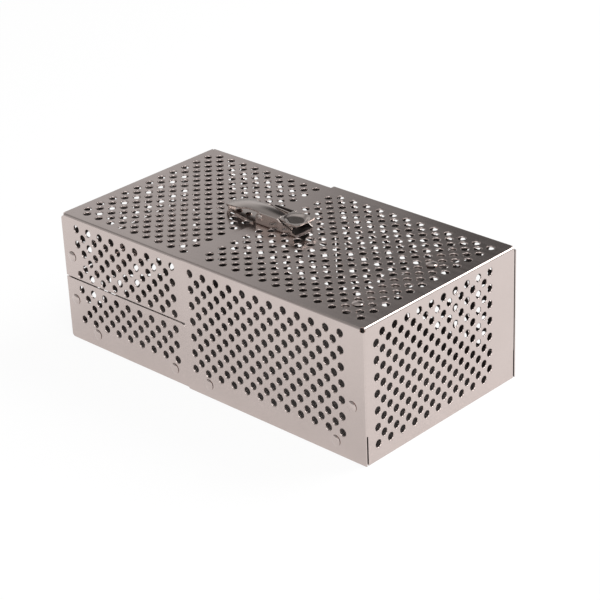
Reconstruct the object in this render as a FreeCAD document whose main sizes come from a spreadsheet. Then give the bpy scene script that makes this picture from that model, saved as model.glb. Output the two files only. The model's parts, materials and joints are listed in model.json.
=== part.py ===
import FreeCAD, Part
import os

import Sketcher

# A perforated steel sterilization container in millimetres. The origin is the middle of the rectangle it
# covers on the bench: +X points to the closed right end, +Y to the back and +Z up. The folded hood on the
# right is fixed; the lid on the left swings about the left end and a toggle latch on top holds it shut.

SIZES = {
    # Outer box and sheet
    "box_length": 234.0,
    "box_width": 126.0,
    "box_height": 81.0,
    "sheet": 1.0,
    "bend_chamfer": 0.8,
    "fold_gap": 0.25,
    # Seams between the hood, the lid and the lower walls
    "hood_length": 133.2,
    "hood_step": 1.0,
    "top_seam": 0.6,
    "lid_height": 39.5,
    "lid_seam": 1.0,
    "corner_rounding": 3.5,
    # Bottom tray and the inward flanges of the folded ends
    "tray_side_flange": 11.8,
    "tray_end_flange": 6.5,
    "tray_notch": 2.0,
    "flange_low": 17.5,
    "hood_flange": 13.0,
    "left_flange": 9.0,
    "corner_notch": 2.2,
    # Perforation: square openings as large as the round punched ones
    "hole_pitch": 10.0,
    "hole_side": 4.2,
    "wall_first_row": 14.5,
    "hood_first_column": 6.55,
    "lid_last_column": 7.85,
    "end_first_column": 13.7,
    "top_first_row": 9.5,
    "top_first_column": 11.85,
    "lid_top_last_column": 5.85,
    "row_edge": 3.8,
    "top_edge": 6.0,
    "end_edge": 20.0,
    # Rest strip inside the hood's left edge
    "rest_reach": 3.0,
    "rest_leg": 30.0,
    # Strap under the hood's top
    "strap_width": 11.0,
    "strap_length": 93.0,
    "strap_from_end": 21.35,
    "strap_from_front": 12.0,
    # Rivets of the box
    "rivet_head": 6.5,
    "rivet_rise": 1.1,
    "tray_rivet_height": 8.0,
    "hood_left_rivet": 16.3,
    "hood_right_rivet": 21.6,
    "wall_left_rivet": 23.2,
    "wall_right_rivet": 11.8,
    "lower_rivet_height": 26.0,
    "lid_rivet_height": 53.8,
    "hood_rivet_height": 32.9,
    "corner_rivet_inset": 6.4,
    "hood_rivet_inset": 9.3,
    "strap_front_rivet": 8.3,
    "strap_back_rivet": 68.0,
    # Small rivets of the hinge and the latch
    "small_rivet_head": 4.0,
    "hinge_rivet_spacing": 29.0,
    "hinge_rivet_height": 8.4,
    "base_rivet_spacing": 14.5,
    "base_first_rivet": 2.5,
    "keeper_rivet_spacing": 7.5,
    "keeper_first_rivet": 24.0,
    # Hinge on the left end
    "hinge_width": 80.0,
    "leaf_height": 14.0,
    "leaf": 0.8,
    "knuckle": 4.4,
    "knuckle_gap": 0.3,
    "hinge_pin": 2.0,
    "pin_fit": 0.05,
    # Toggle latch: base and cheeks on the hood
    "latch_centre": 3.2,
    "latch_width": 15.4,
    "latch_sheet": 1.0,
    "latch_gap": 0.3,
    "cheek_length": 30.0,
    "cheek_height": 7.6,
    "cheek_slope": 13.4,
    "cheek_ease": 2.0,
    "floor_inset": 3.4,
    "base_edge": 0.7,
    # Toggle latch: lever and its pin
    "lever_pin_inset": 4.2,
    "lever_pin_height": 4.7,
    "lever_pin": 2.4,
    "pin_head": 4.0,
    "pin_head_rise": 0.8,
    "arm_half": 2.3,
    "arm_reach": 23.0,
    "tab_height": 6.0,
    "tab_thickness": 1.6,
    "tab_start": 13.6,
    "tab_neck": 16.6,
    "tab_end": 29.0,
    "tab_widening": 1.4,
    "tab_rim": 1.2,
    "tab_dish": 0.8,
    # Toggle latch: claw, its pin and the keeper on the lid
    "claw_pin_offset": 9.0,
    "claw_pin_drop": 0.8,
    "claw_pin": 2.0,
    "claw_eye": 3.8,
    "claw_neck": 10.2,
    "claw_radius": 42.0,
    "claw_crown": 19.0,
    "claw_rise": 5.5,
    "claw_end": 31.0,
    "claw_bill": 3.0,
    "claw_bill_angle": 60.0,
    "claw_shoulder": 21.0,
    "claw_nose": 1.6,
    "keeper_length": 24.0,
    "keeper_gap": 0.4,
    "catch_height": 2.2,
    "catch_width": 5.0,
}

RIVET_SIDES = 12
KNUCKLES = 5
CLAW_FACETS = 7

# Places worked out from the sizes above, as formulas for the bound properties
RIGHT = "(Sizes.box_length / 2 + Sizes.knuckle / 2)"
LEFT = f"({RIGHT} - Sizes.box_length)"
HOOD_OUT = "(Sizes.box_width / 2)"
HOOD_LEFT = f"({RIGHT} - Sizes.hood_length)"
LID_RIGHT = f"({HOOD_LEFT} - Sizes.top_seam)"
LID_OUT = f"({HOOD_OUT} - Sizes.hood_step)"
TOP = "Sizes.box_height"
LID_TOP = f"({TOP} - Sizes.hood_step)"
LID_BOTTOM = f"({LID_TOP} - Sizes.lid_height)"
WALL_TOP = f"({LID_BOTTOM} - Sizes.lid_seam)"
HOOD_FIRST_COLUMN = f"({HOOD_LEFT} + Sizes.hood_first_column)"
LID_LAST_COLUMN = f"({LID_RIGHT} - Sizes.lid_last_column)"
TOP_FIRST_COLUMN = f"({HOOD_LEFT} + Sizes.top_first_column)"
LID_TOP_LAST_COLUMN = f"({LID_RIGHT} - Sizes.lid_top_last_column)"
TOP_FIRST_ROW = f"(-{HOOD_OUT} + Sizes.top_first_row)"
END_FIRST_COLUMN = f"(-{HOOD_OUT} + Sizes.end_first_column)"
HOLE_REACH = "(Sizes.hole_side / sqrt(2))"
HINGE_X = f"({LEFT} - Sizes.knuckle / 2)"
HINGE_Z = f"({LID_BOTTOM} - Sizes.lid_seam / 2)"
CENTRE = "Sizes.latch_centre"
HALF = "(Sizes.latch_width / 2)"
CHEEK_LEFT = f"({HOOD_LEFT} + Sizes.base_edge)"
CHEEK_RIGHT = f"({CHEEK_LEFT} + Sizes.cheek_length)"
LEVER_X = f"({HOOD_LEFT} + Sizes.lever_pin_inset)"
LEVER_Z = f"({TOP} + Sizes.lever_pin_height)"
CLAW_X = f"({LEVER_X} + Sizes.claw_pin_offset)"
CLAW_Z = f"({LEVER_Z} - Sizes.claw_pin_drop)"
ARM_OUT = f"({HALF} - Sizes.latch_sheet - Sizes.latch_gap)"
CLAW_START = "(-asin(Sizes.claw_crown / Sizes.claw_radius))"
CLAW_INSIDE = "(Sizes.claw_radius - Sizes.latch_sheet)"
BACKWARD = FreeCAD.Rotation(FreeCAD.Vector(1, 0, 0), -90)
FACINGS = {
    "front": FreeCAD.Rotation(FreeCAD.Vector(1, 0, 0), 90),
    "back": BACKWARD,
    "left": FreeCAD.Rotation(FreeCAD.Vector(0, 1, 0), -90),
    "up": FreeCAD.Rotation(),
}

doc = FreeCAD.newDocument("sterilization_container")
sizes = doc.addObject("Spreadsheet::Sheet", "Sizes")
for row, (alias, value) in enumerate(SIZES.items(), start=1):
    sizes.set(f"A{row}", alias)
    sizes.set(f"B{row}", str(value))
    sizes.setAlias(f"B{row}", alias)
doc.recompute()


def value_of(formula):
    """The number that a formula on the sheet's cells gives."""
    result = sizes.evalExpression(formula)
    return float(getattr(result, "Value", result))


def bind(thing, **formulas):
    """Bind properties of a document object to formulas, with __ for a dot in the property's path."""
    for path, formula in formulas.items():
        thing.setExpression(path.replace("__", "."), formula)


def place_at(thing, place, turn):
    """Turn a document object and bind its position to three formulas."""
    thing.Placement = FreeCAD.Placement(FreeCAD.Vector(), turn)
    bind(thing, Placement__Base__x=place[0], Placement__Base__y=place[1], Placement__Base__z=place[2])


def new_body(label):
    """An empty body for one sub-part, labelled with its name."""
    body = doc.addObject("PartDesign::Body", label)
    body.Label = label
    return body


def new_sketch(body, plane, level="0"):
    """A sketch on one of the body's own origin planes, raised along its normal to a level."""
    sketch = body.newObject("Sketcher::SketchObject", body.Label + "_sketch")
    origin_plane = next(feature for feature in body.Origin.OriginFeatures if feature.Role == plane)
    sketch.AttachmentSupport = [(origin_plane, "")]
    sketch.MapMode = "FlatFace"
    bind(sketch, AttachmentOffset__Base__z=level)
    return sketch


def constrain(sketch, kind, *target, formula):
    """Add a dimension to a sketch and bind it to a formula."""
    constraint = sketch.addConstraint(Sketcher.Constraint(kind, *target, value_of(formula)))
    sketch.setExpression(f"Constraints[{constraint}]", formula)


def add_outline(sketch, corners):
    """Add a closed outline to a sketch, each corner bound to its pair of formulas."""
    points = [FreeCAD.Vector(value_of(across), value_of(up), 0) for across, up in corners]
    first = sketch.GeometryCount
    for index, point in enumerate(points):
        sketch.addGeometry(Part.LineSegment(point, points[(index + 1) % len(points)]), False)
    for index, (across, up) in enumerate(corners):
        line = first + index
        follower = first + (index + 1) % len(corners)
        sketch.addConstraint(Sketcher.Constraint("Coincident", line, 2, follower, 1))
        constrain(sketch, "DistanceX", -1, 1, line, 1, formula=across)
        constrain(sketch, "DistanceY", -1, 1, line, 1, formula=up)


def add_circle(sketch, across, up, radius):
    """Add a circle to a sketch, its centre and radius bound to formulas."""
    middle = FreeCAD.Vector(value_of(across), value_of(up), 0)
    circle = sketch.addGeometry(Part.Circle(middle, FreeCAD.Vector(0, 0, 1), value_of(radius)), False)
    constrain(sketch, "DistanceX", -1, 1, circle, 3, formula=across)
    constrain(sketch, "DistanceY", -1, 1, circle, 3, formula=up)
    constrain(sketch, "Radius", circle, formula=radius)


def rectangle(left, low, right, high):
    """The corners of a rectangle from its four formulas."""
    return [(left, low), (right, low), (right, high), (left, high)]


def flipped(outline):
    """The same outline on the other side of the sketch's horizontal axis."""
    return [(across, f"-({up})") for across, up in reversed(outline)]


def square_on_corner(across, up):
    """The corners of one perforation, standing on a corner as the diagonal lattice does."""
    return [
        (f"{across} + {HOLE_REACH}", up),
        (across, f"{up} + {HOLE_REACH}"),
        (f"{across} - {HOLE_REACH}", up),
        (across, f"{up} - {HOLE_REACH}"),
    ]


def pitched(start, steps):
    """A place some hole pitches on from a start."""
    return f"({start} + {steps} * Sizes.hole_pitch)"


def holes_within(first, last):
    """How many holes, one pitch apart, there is room for between two places."""
    return 1 + int(value_of(f"({last} - {first}) / Sizes.hole_pitch"))


END_COLUMNS = holes_within(END_FIRST_COLUMN, f"({HOOD_OUT} - Sizes.end_edge)")
TOP_ROWS = holes_within(TOP_FIRST_ROW, f"({HOOD_OUT} - Sizes.top_edge)")
LID_COLUMNS = holes_within(f"({LEFT} + Sizes.left_flange + {HOLE_REACH})", LID_LAST_COLUMN)
LOWER_ROWS = holes_within("Sizes.wall_first_row", f"({WALL_TOP} - Sizes.row_edge)")


def add_pad(body, plane, outlines, start, length):
    """Pad outlines from a start level along the axis square to the plane."""
    sketch = new_sketch(body, plane, start)
    for outline in outlines:
        add_outline(sketch, outline)
    pad = body.newObject("PartDesign::Pad", body.Label + "_pad")
    pad.Profile = sketch
    pad.UseCustomVector = True
    pad.Direction = {"XY_Plane": (0, 0, 1), "XZ_Plane": (0, 1, 0), "YZ_Plane": (1, 0, 0)}[plane]
    bind(pad, Length=length)
    return pad


def pad_across(body, outlines, near, far):
    """Pad front-view outlines between two depths."""
    return add_pad(body, "XZ_Plane", outlines, f"-({near})", f"({far}) - ({near})")


def cut_through(body, plane, outlines):
    """Cut outlines right through the body, both ways from the plane."""
    sketch = new_sketch(body, plane)
    for outline in outlines:
        add_outline(sketch, outline)
    pocket = body.newObject("PartDesign::Pocket", body.Label + "_pocket")
    pocket.Profile = sketch
    pocket.SideType = "Symmetric"
    pocket.Type = "ThroughAll"
    return pocket


def cut_down(body, outlines, start, depth):
    """Cut plan-view outlines downward from a start level."""
    sketch = new_sketch(body, "XY_Plane", start)
    for outline in outlines:
        add_outline(sketch, outline)
    pocket = body.newObject("PartDesign::Pocket", body.Label + "_recess")
    pocket.Profile = sketch
    bind(pocket, Length=depth)
    return pocket


def bore(body, across, up, radius):
    """Bore a hole right through a body along its depth."""
    pocket = cut_through(body, "XZ_Plane", [])
    add_circle(pocket.Profile[0], across, up, radius)


def perforate(body, plane, across, up, columns, rows):
    """Punch a field of square openings, its columns and rows one pitch apart."""
    pocket = cut_through(body, plane, [square_on_corner(across, up)])
    pattern = body.newObject("PartDesign::LinearPattern", body.Label + "_perforation")
    pattern.Originals = [pocket]
    pattern.Direction = (pocket.Profile[0], ["H_Axis"])
    pattern.Mode = "Spacing"
    pattern.Occurrences = columns
    pattern.Direction2 = (pocket.Profile[0], ["V_Axis"])
    pattern.Mode2 = "Spacing"
    pattern.Occurrences2 = rows
    # Each gap of -1 takes the pattern's own offset
    pattern.Spacings = [-1.0] * (columns - 1)
    pattern.Spacings2 = [-1.0] * (rows - 1)
    bind(pattern, Offset="Sizes.hole_pitch", Offset2="Sizes.hole_pitch")
    body.Tip = pattern


def folded_section(outer, top, low):
    """The section of a sheet folded down at both sides, with its outer bends eased."""
    inner = f"({outer} - Sizes.sheet)"
    under = f"({top} - Sizes.sheet)"
    eased_side = f"({outer} - Sizes.bend_chamfer)"
    eased_top = f"({top} - Sizes.bend_chamfer)"
    right_side = [(inner, low), (outer, low), (outer, eased_top), (eased_side, top)]
    left_side = [(f"-{across}", up) for across, up in reversed(right_side)]
    return right_side + left_side + [(f"-{inner}", under), (inner, under)]


def add_folded_end(body, face, inward, outer, flange, wall, wings):
    """Add an end wall and a flange folded inward behind each side wall, each between two levels."""
    inner = f"({face} + {inward} * Sizes.sheet)"
    tip = f"({face} + {inward} * Sizes.{flange})"
    side = f"({outer} - Sizes.sheet - Sizes.fold_gap)"
    wing = rectangle(inner, f"{side} - Sizes.sheet", tip, side)
    wall_outline = rectangle(face, f"-{side}", inner, side)
    for outlines, (low, high) in (([wall_outline], wall), ([wing, flipped(wing)], wings)):
        add_pad(body, "XY_Plane", outlines, low, f"{high} - {low}")


def notch_corners(body, face, inward, top, outer):
    """Cut the relief notches where the top, a side and the end wall meet, and ease the end's bend."""
    depth = f"({face} + {inward} * Sizes.corner_notch)"
    beyond = f"({face} - {inward} * Sizes.sheet)"
    notch = rectangle(depth, f"{outer} - Sizes.corner_notch", beyond, f"{outer} + Sizes.sheet")
    cut_down(body, [notch, flipped(notch)], top, "Sizes.corner_notch")
    bend = [
        (f"{face} + {inward} * Sizes.bend_chamfer", top),
        (face, top),
        (face, f"{top} - Sizes.bend_chamfer"),
    ]
    cut_through(body, "XZ_Plane", [bend])


def make_hood():
    """The fixed right part: top, front, back and right end folded from one perforated sheet."""
    hood = new_body("hood")
    section = folded_section(HOOD_OUT, TOP, "0")
    add_pad(hood, "YZ_Plane", [section], HOOD_LEFT, "Sizes.hood_length")
    under = f"({TOP} - Sizes.sheet)"
    wings = ("Sizes.flange_low", f"({under} - Sizes.corner_notch)")
    add_folded_end(hood, RIGHT, "-1", HOOD_OUT, "hood_flange", ("0", under), wings)
    notch_corners(hood, RIGHT, "-1", TOP, HOOD_OUT)
    columns = holes_within(HOOD_FIRST_COLUMN, f"({RIGHT} - Sizes.hood_flange - {HOLE_REACH})")
    rows = holes_within("Sizes.wall_first_row", f"({TOP} - Sizes.top_edge)")
    perforate(hood, "XZ_Plane", HOOD_FIRST_COLUMN, "Sizes.wall_first_row", columns, rows)
    top_columns = holes_within(TOP_FIRST_COLUMN, f"({RIGHT} - Sizes.top_edge)")
    perforate(hood, "XY_Plane", TOP_FIRST_COLUMN, TOP_FIRST_ROW, top_columns, TOP_ROWS)
    perforate(hood, "YZ_Plane", END_FIRST_COLUMN, "Sizes.wall_first_row", END_COLUMNS, rows)


def perforate_side(body, first_row, rows, rivet):
    """Punch a left side wall; its first column keeps only the rows that clear the corner rivet."""
    first_column = pitched(LID_LAST_COLUMN, 1 - LID_COLUMNS)
    perforate(body, "XZ_Plane", pitched(first_column, 1), first_row, LID_COLUMNS - 1, rows)
    room = value_of(f"Sizes.rivet_head / 2 + {HOLE_REACH}")
    levels = [pitched(first_row, row) for row in range(rows)]
    clear = [level for level in levels if abs(value_of(f"{level} - {rivet}")) > room]
    cut_through(body, "XZ_Plane", [square_on_corner(first_column, level) for level in clear])


def make_lid():
    """The swinging left part: top, front, back and left end folded from one perforated sheet."""
    lid = new_body("lid")
    section = folded_section(LID_OUT, LID_TOP, LID_BOTTOM)
    add_pad(lid, "YZ_Plane", [section], LEFT, f"{LID_RIGHT} - {LEFT}")
    under = f"({LID_TOP} - Sizes.sheet)"
    wings = (LID_BOTTOM, f"({under} - Sizes.corner_notch)")
    add_folded_end(lid, LEFT, "1", LID_OUT, "left_flange", (LID_BOTTOM, under), wings)
    notch_corners(lid, LEFT, "1", LID_TOP, LID_OUT)
    rows_below = holes_within("Sizes.wall_first_row", f"({LID_BOTTOM} + Sizes.row_edge)")
    first_row = pitched("Sizes.wall_first_row", rows_below)
    rows = holes_within(first_row, f"({LID_TOP} - Sizes.row_edge)")
    perforate_side(lid, first_row, rows, "Sizes.lid_rivet_height")
    top_columns = holes_within(f"({LEFT} + Sizes.top_edge)", LID_TOP_LAST_COLUMN)
    top_first_column = pitched(LID_TOP_LAST_COLUMN, 1 - top_columns)
    perforate(lid, "XY_Plane", top_first_column, TOP_FIRST_ROW, top_columns, TOP_ROWS)
    perforate(lid, "YZ_Plane", END_FIRST_COLUMN, first_row, END_COLUMNS, rows)


def make_lower_side(label, side):
    """A flat perforated wall below the lid, its top corner at the hood rounded."""
    wall = new_body(label)
    near, far = sorted((f"{side} * {LID_OUT}", f"{side} * ({LID_OUT} - Sizes.sheet)"), key=value_of)
    pad = add_pad(wall, "XY_Plane", [rectangle(LEFT, near, LID_RIGHT, far)], "0", WALL_TOP)
    doc.recompute()
    corner = FreeCAD.Vector(value_of(LID_RIGHT), value_of(f"({near} + {far}) / 2"), value_of(WALL_TOP))
    edges = pad.Shape.Edges
    nearest = min(range(len(edges)), key=lambda number: edges[number].CenterOfMass.distanceToPoint(corner))
    rounding = wall.newObject("PartDesign::Fillet", label + "_rounding")
    rounding.Base = (pad, [f"Edge{nearest + 1}"])
    bind(rounding, Radius="Sizes.corner_rounding")
    perforate_side(wall, "Sizes.wall_first_row", LOWER_ROWS, "Sizes.lower_rivet_height")


def make_lower_end():
    """The lower left end wall, with flanges folded inward behind the lower side walls."""
    wall = new_body("lower_end_wall")
    add_folded_end(wall, LEFT, "1", LID_OUT, "left_flange", ("0", WALL_TOP), ("Sizes.flange_low", WALL_TOP))
    perforate(wall, "YZ_Plane", END_FIRST_COLUMN, "Sizes.wall_first_row", END_COLUMNS, LOWER_ROWS)


def make_tray():
    """The plain bottom tray, a step wider under the hood, its flanges inside all four walls."""
    tray = new_body("bottom_tray")
    left_end = f"({LEFT} + Sizes.sheet + Sizes.fold_gap)"
    right_end = f"({RIGHT} - Sizes.sheet - Sizes.fold_gap)"
    narrow = f"({LID_OUT} - Sizes.sheet)"
    wide = f"({HOOD_OUT} - Sizes.sheet)"
    near_half = [
        (left_end, f"-{narrow}"),
        (HOOD_LEFT, f"-{narrow}"),
        (HOOD_LEFT, f"-{wide}"),
        (right_end, f"-{wide}"),
    ]
    add_pad(tray, "XY_Plane", [near_half + flipped(near_half)], "0", "Sizes.sheet")
    side_flanges = []
    for start, end, outer in (
        (left_end, f"({HOOD_LEFT} - Sizes.tray_notch)", narrow),
        (f"({HOOD_LEFT} + Sizes.tray_notch)", right_end, wide),
    ):
        flange = rectangle(start, f"({outer} - Sizes.sheet)", end, outer)
        side_flanges += [flange, flipped(flange)]
    end_flanges = []
    for start, end, outer in (
        (left_end, f"({left_end} + Sizes.sheet)", narrow),
        (f"({right_end} - Sizes.sheet)", right_end, wide),
    ):
        reach = f"({outer} - Sizes.sheet - Sizes.tray_notch)"
        end_flanges.append(rectangle(start, f"-{reach}", end, reach))
    root = "Sizes.sheet / 2"
    for flanges, height in ((side_flanges, "tray_side_flange"), (end_flanges, "tray_end_flange")):
        add_pad(tray, "XY_Plane", flanges, root, f"Sizes.{height} - {root}")


def make_rest_strip():
    """The joggled strip inside the hood's left edge, on which the lid closes."""
    strip = new_body("lid_rest_strip")
    lap = "Sizes.rest_reach"
    for start, length, half_width, sheet_top in (
        (f"({HOOD_LEFT} - {lap})", f"{lap} + 2 * Sizes.sheet", LID_OUT, LID_TOP),
        (f"({HOOD_LEFT} + Sizes.sheet)", lap, HOOD_OUT, TOP),
    ):
        outer = f"({half_width} - Sizes.sheet)"
        inner = f"({outer} - Sizes.sheet)"
        top = f"({sheet_top} - Sizes.sheet)"
        low = f"({top} - Sizes.rest_leg)"
        under = f"({top} - Sizes.sheet)"
        right_leg = [(inner, under), (inner, low), (outer, low), (outer, top)]
        left_leg = [(f"-{across}", up) for across, up in reversed(right_leg)]
        add_pad(strip, "YZ_Plane", [right_leg + left_leg], start, length)


def make_strap():
    """The flat strap riveted under the hood's top near the closed end."""
    strap = new_body("inner_strap")
    right = f"({RIGHT} - Sizes.strap_from_end + Sizes.strap_width / 2)"
    front = f"(-{HOOD_OUT} + Sizes.strap_from_front)"
    outline = rectangle(f"{right} - Sizes.strap_width", front, right, f"{front} + Sizes.strap_length")
    add_pad(strap, "XY_Plane", [outline], f"{TOP} - 2 * Sizes.sheet", "Sizes.sheet")


def make_rivets(label, places, across="rivet_head"):
    """A group of low rivet heads, each place given as formulas for x, y and z and the way it faces."""
    heads = []
    for x, y, z, facing in places:
        head = doc.addObject("Part::Prism", label + "_head")
        head.Polygon = RIVET_SIDES
        bind(head, Circumradius=f"Sizes.{across} / 2", Height="Sizes.rivet_rise")
        place_at(head, (x, y, z), FACINGS[facing])
        heads.append(head)
    group = doc.addObject("Part::Compound", label)
    group.Label = label
    group.Links = heads


def both_sides(outer, places):
    """The same rivet places on the front and on the back."""
    return [(x, f"-{outer}", z, "front") for x, z in places] + [(x, outer, z, "back") for x, z in places]


def make_box_rivets():
    """The rivets of the tray, the corners and the strap."""
    low = "Sizes.tray_rivet_height"
    hood_places = [(f"{HOOD_LEFT} + Sizes.hood_left_rivet", low), (f"{RIGHT} - Sizes.hood_right_rivet", low)]
    wall_places = [(f"{LEFT} + Sizes.wall_left_rivet", low), (f"{LID_RIGHT} - Sizes.wall_right_rivet", low)]
    make_rivets("tray_rivets", both_sides(HOOD_OUT, hood_places) + both_sides(LID_OUT, wall_places))
    hood_corner = (f"{RIGHT} - Sizes.hood_rivet_inset", "Sizes.hood_rivet_height")
    make_rivets("hood_corner_rivets", both_sides(HOOD_OUT, [hood_corner]))
    left_corner = f"{LEFT} + Sizes.corner_rivet_inset"
    make_rivets("lid_corner_rivets", both_sides(LID_OUT, [(left_corner, "Sizes.lid_rivet_height")]))
    make_rivets("lower_corner_rivets", both_sides(LID_OUT, [(left_corner, "Sizes.lower_rivet_height")]))
    strap_x = f"{RIGHT} - Sizes.strap_from_end"
    strap_front = f"-{HOOD_OUT} + Sizes.strap_from_front"
    strap_places = [
        (strap_x, f"{strap_front} + Sizes.strap_front_rivet", TOP, "up"),
        (strap_x, f"{strap_front} + Sizes.strap_back_rivet", TOP, "up"),
    ]
    make_rivets("strap_rivets", strap_places)


def make_cylinder(label, radius, height, place, turn):
    """A cylinder whose radius, height and foot are bound to formulas."""
    cylinder = doc.addObject("Part::Cylinder", label)
    cylinder.Label = label
    bind(cylinder, Radius=radius, Height=height)
    place_at(cylinder, place, turn)
    return cylinder


def make_box(label, lowest, size):
    """A box whose lowest corner and size are bound to formulas."""
    box = doc.addObject("Part::Box", label)
    bind(box, Length=size[0], Width=size[1], Height=size[2])
    place_at(box, lowest, FreeCAD.Rotation())
    return box


def join(label, shapes):
    """Fuse document objects into one."""
    fused = doc.addObject("Part::MultiFuse", label)
    fused.Label = label
    fused.Shapes = shapes
    return fused


def make_leaf(label, low_edge, first_knuckle):
    """One hinge leaf: a plate on the left end with every second knuckle of the barrel."""
    share = f"(Sizes.hinge_width / {KNUCKLES})"
    near = "(-Sizes.hinge_width / 2)"
    plate_size = ("Sizes.leaf", "Sizes.hinge_width", "Sizes.leaf_height")
    metal = [make_box(label + "_plate", (f"({LEFT} - Sizes.leaf)", near, low_edge), plate_size)]
    reach = "(Sizes.knuckle / 2 + Sizes.knuckle_gap)"
    room_size = (f"2 * {reach}", f"{share} + 2 * Sizes.knuckle_gap", f"2 * {reach}")
    openings = [
        make_cylinder(label + "_bore", "Sizes.hinge_pin / 2 + Sizes.pin_fit", "Sizes.hinge_width",
                      (HINGE_X, near, HINGE_Z), BACKWARD)
    ]
    for number in range(KNUCKLES):
        start = f"({near} + {number} * {share})"
        if number % 2 == first_knuckle:
            foot = (HINGE_X, start, HINGE_Z)
            metal.append(make_cylinder(label + "_knuckle", "Sizes.knuckle / 2", share, foot, BACKWARD))
        else:
            room_place = (f"{HINGE_X} - {reach}", f"{start} - Sizes.knuckle_gap", f"{HINGE_Z} - {reach}")
            openings.append(make_box(label + "_room", room_place, room_size))
    leaf = doc.addObject("Part::Cut", label)
    leaf.Label = label
    leaf.Base = join(label + "_metal", metal)
    leaf.Tool = join(label + "_openings", openings)


def make_hinge():
    """The hinge on the left end: two leaves and the pin, with their rivets."""
    make_leaf("hinge_lower_leaf", f"({HINGE_Z} - Sizes.leaf_height)", 0)
    make_leaf("hinge_upper_leaf", HINGE_Z, 1)
    pin_foot = (HINGE_X, "(-Sizes.hinge_width / 2)", HINGE_Z)
    make_cylinder("hinge_pin", "Sizes.hinge_pin / 2", "Sizes.hinge_width", pin_foot, BACKWARD)
    face = f"({LEFT} - Sizes.leaf)"
    for label, side in (("hinge_lower_rivets", "-"), ("hinge_upper_rivets", "+")):
        height = f"({HINGE_Z} {side} Sizes.hinge_rivet_height)"
        places = [(face, f"{step} * Sizes.hinge_rivet_spacing", height, "left") for step in (-1, 0, 1)]
        make_rivets(label, places, "small_rivet_head")


def make_latch_base():
    """The fixed bracket of the latch: a floor on the hood's top between two cheeks sloping to the right."""
    base = new_body("latch_base")
    cheek_top = f"({TOP} + Sizes.cheek_height)"
    cheek = [
        (CHEEK_LEFT, TOP),
        (CHEEK_RIGHT, TOP),
        (f"({CHEEK_RIGHT} - Sizes.cheek_slope)", cheek_top),
        (f"({CHEEK_LEFT} + Sizes.cheek_ease)", cheek_top),
        (CHEEK_LEFT, f"({cheek_top} - Sizes.cheek_ease)"),
    ]
    floor = rectangle(CHEEK_LEFT, TOP, f"({CHEEK_RIGHT} - Sizes.floor_inset)", f"({TOP} + Sizes.latch_sheet)")
    pad_across(base, [floor], f"{CENTRE} - {HALF}", f"{CENTRE} + {HALF}")
    pad_across(base, [cheek], f"{CENTRE} - {HALF}", f"{CENTRE} - {HALF} + Sizes.latch_sheet")
    pad_across(base, [cheek], f"{CENTRE} + {HALF} - Sizes.latch_sheet", f"{CENTRE} + {HALF}")
    bore(base, LEVER_X, LEVER_Z, "Sizes.lever_pin / 2 + Sizes.pin_fit")


def make_lever():
    """The lever: two arms between the cheeks, carrying a dished finger tab that overhangs to the right."""
    lever = new_body("latch_lever")
    tab_low = f"({TOP} + Sizes.tab_height)"
    tab_top = f"({tab_low} + Sizes.tab_thickness)"
    tab_left = f"({LEVER_X} + Sizes.tab_start)"
    tab_right = f"({LEVER_X} + Sizes.tab_end)"
    arm_left = f"({LEVER_X} - Sizes.arm_half)"
    arm_low = f"({LEVER_Z} - Sizes.arm_half)"
    arm = [
        (arm_left, arm_low),
        (f"({LEVER_X} + Sizes.arm_reach)", arm_low),
        (f"({LEVER_X} + Sizes.arm_reach + Sizes.arm_half)", tab_low),
        (f"({tab_left} + Sizes.latch_sheet)", tab_low),
        (tab_left, f"({tab_low} + Sizes.latch_sheet)"),
        (arm_left, f"({LEVER_Z} + Sizes.arm_half)"),
    ]
    inside = f"({ARM_OUT} - Sizes.latch_sheet)"
    pad_across(lever, [arm], f"{CENTRE} - {ARM_OUT}", f"{CENTRE} - {inside}")
    pad_across(lever, [arm], f"{CENTRE} + {inside}", f"{CENTRE} + {ARM_OUT}")
    wide = f"({ARM_OUT} + Sizes.tab_widening)"
    tab_neck = f"({LEVER_X} + Sizes.tab_neck)"
    tab_full = f"({tab_neck} + Sizes.tab_widening)"
    tab = [
        (tab_left, f"{CENTRE} - {ARM_OUT}"),
        (tab_neck, f"{CENTRE} - {ARM_OUT}"),
        (tab_full, f"{CENTRE} - {wide}"),
        (tab_right, f"{CENTRE} - {wide}"),
        (tab_right, f"{CENTRE} + {wide}"),
        (tab_full, f"{CENTRE} + {wide}"),
        (tab_neck, f"{CENTRE} + {ARM_OUT}"),
        (tab_left, f"{CENTRE} + {ARM_OUT}"),
    ]
    add_pad(lever, "XY_Plane", [tab], tab_low, "Sizes.tab_thickness")
    bore(lever, LEVER_X, LEVER_Z, "Sizes.lever_pin / 2 + Sizes.pin_fit")
    bore(lever, CLAW_X, CLAW_Z, "Sizes.claw_pin / 2 + Sizes.pin_fit")
    rim = "Sizes.tab_rim"
    dish_half = f"({ARM_OUT} - {rim})"
    dish_outline = rectangle(f"{tab_left} + 2 * {rim}", f"{CENTRE} - {dish_half}", f"{tab_right} - {rim}",
                             f"{CENTRE} + {dish_half}")
    cut_down(lever, [dish_outline], tab_top, "Sizes.tab_dish")


def claw_point(radius, step):
    """A point of the claw's arch, at a radius from its centre and some facets on from the eye."""
    angle = f"({CLAW_START} + (Sizes.claw_end * 1 deg - {CLAW_START}) * {step} / {CLAW_FACETS})"
    return (
        f"({CLAW_X} - Sizes.claw_crown - {radius} * sin({angle}))",
        f"({CLAW_Z} + Sizes.claw_rise - Sizes.claw_radius + {radius} * cos({angle}))",
    )


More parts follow.
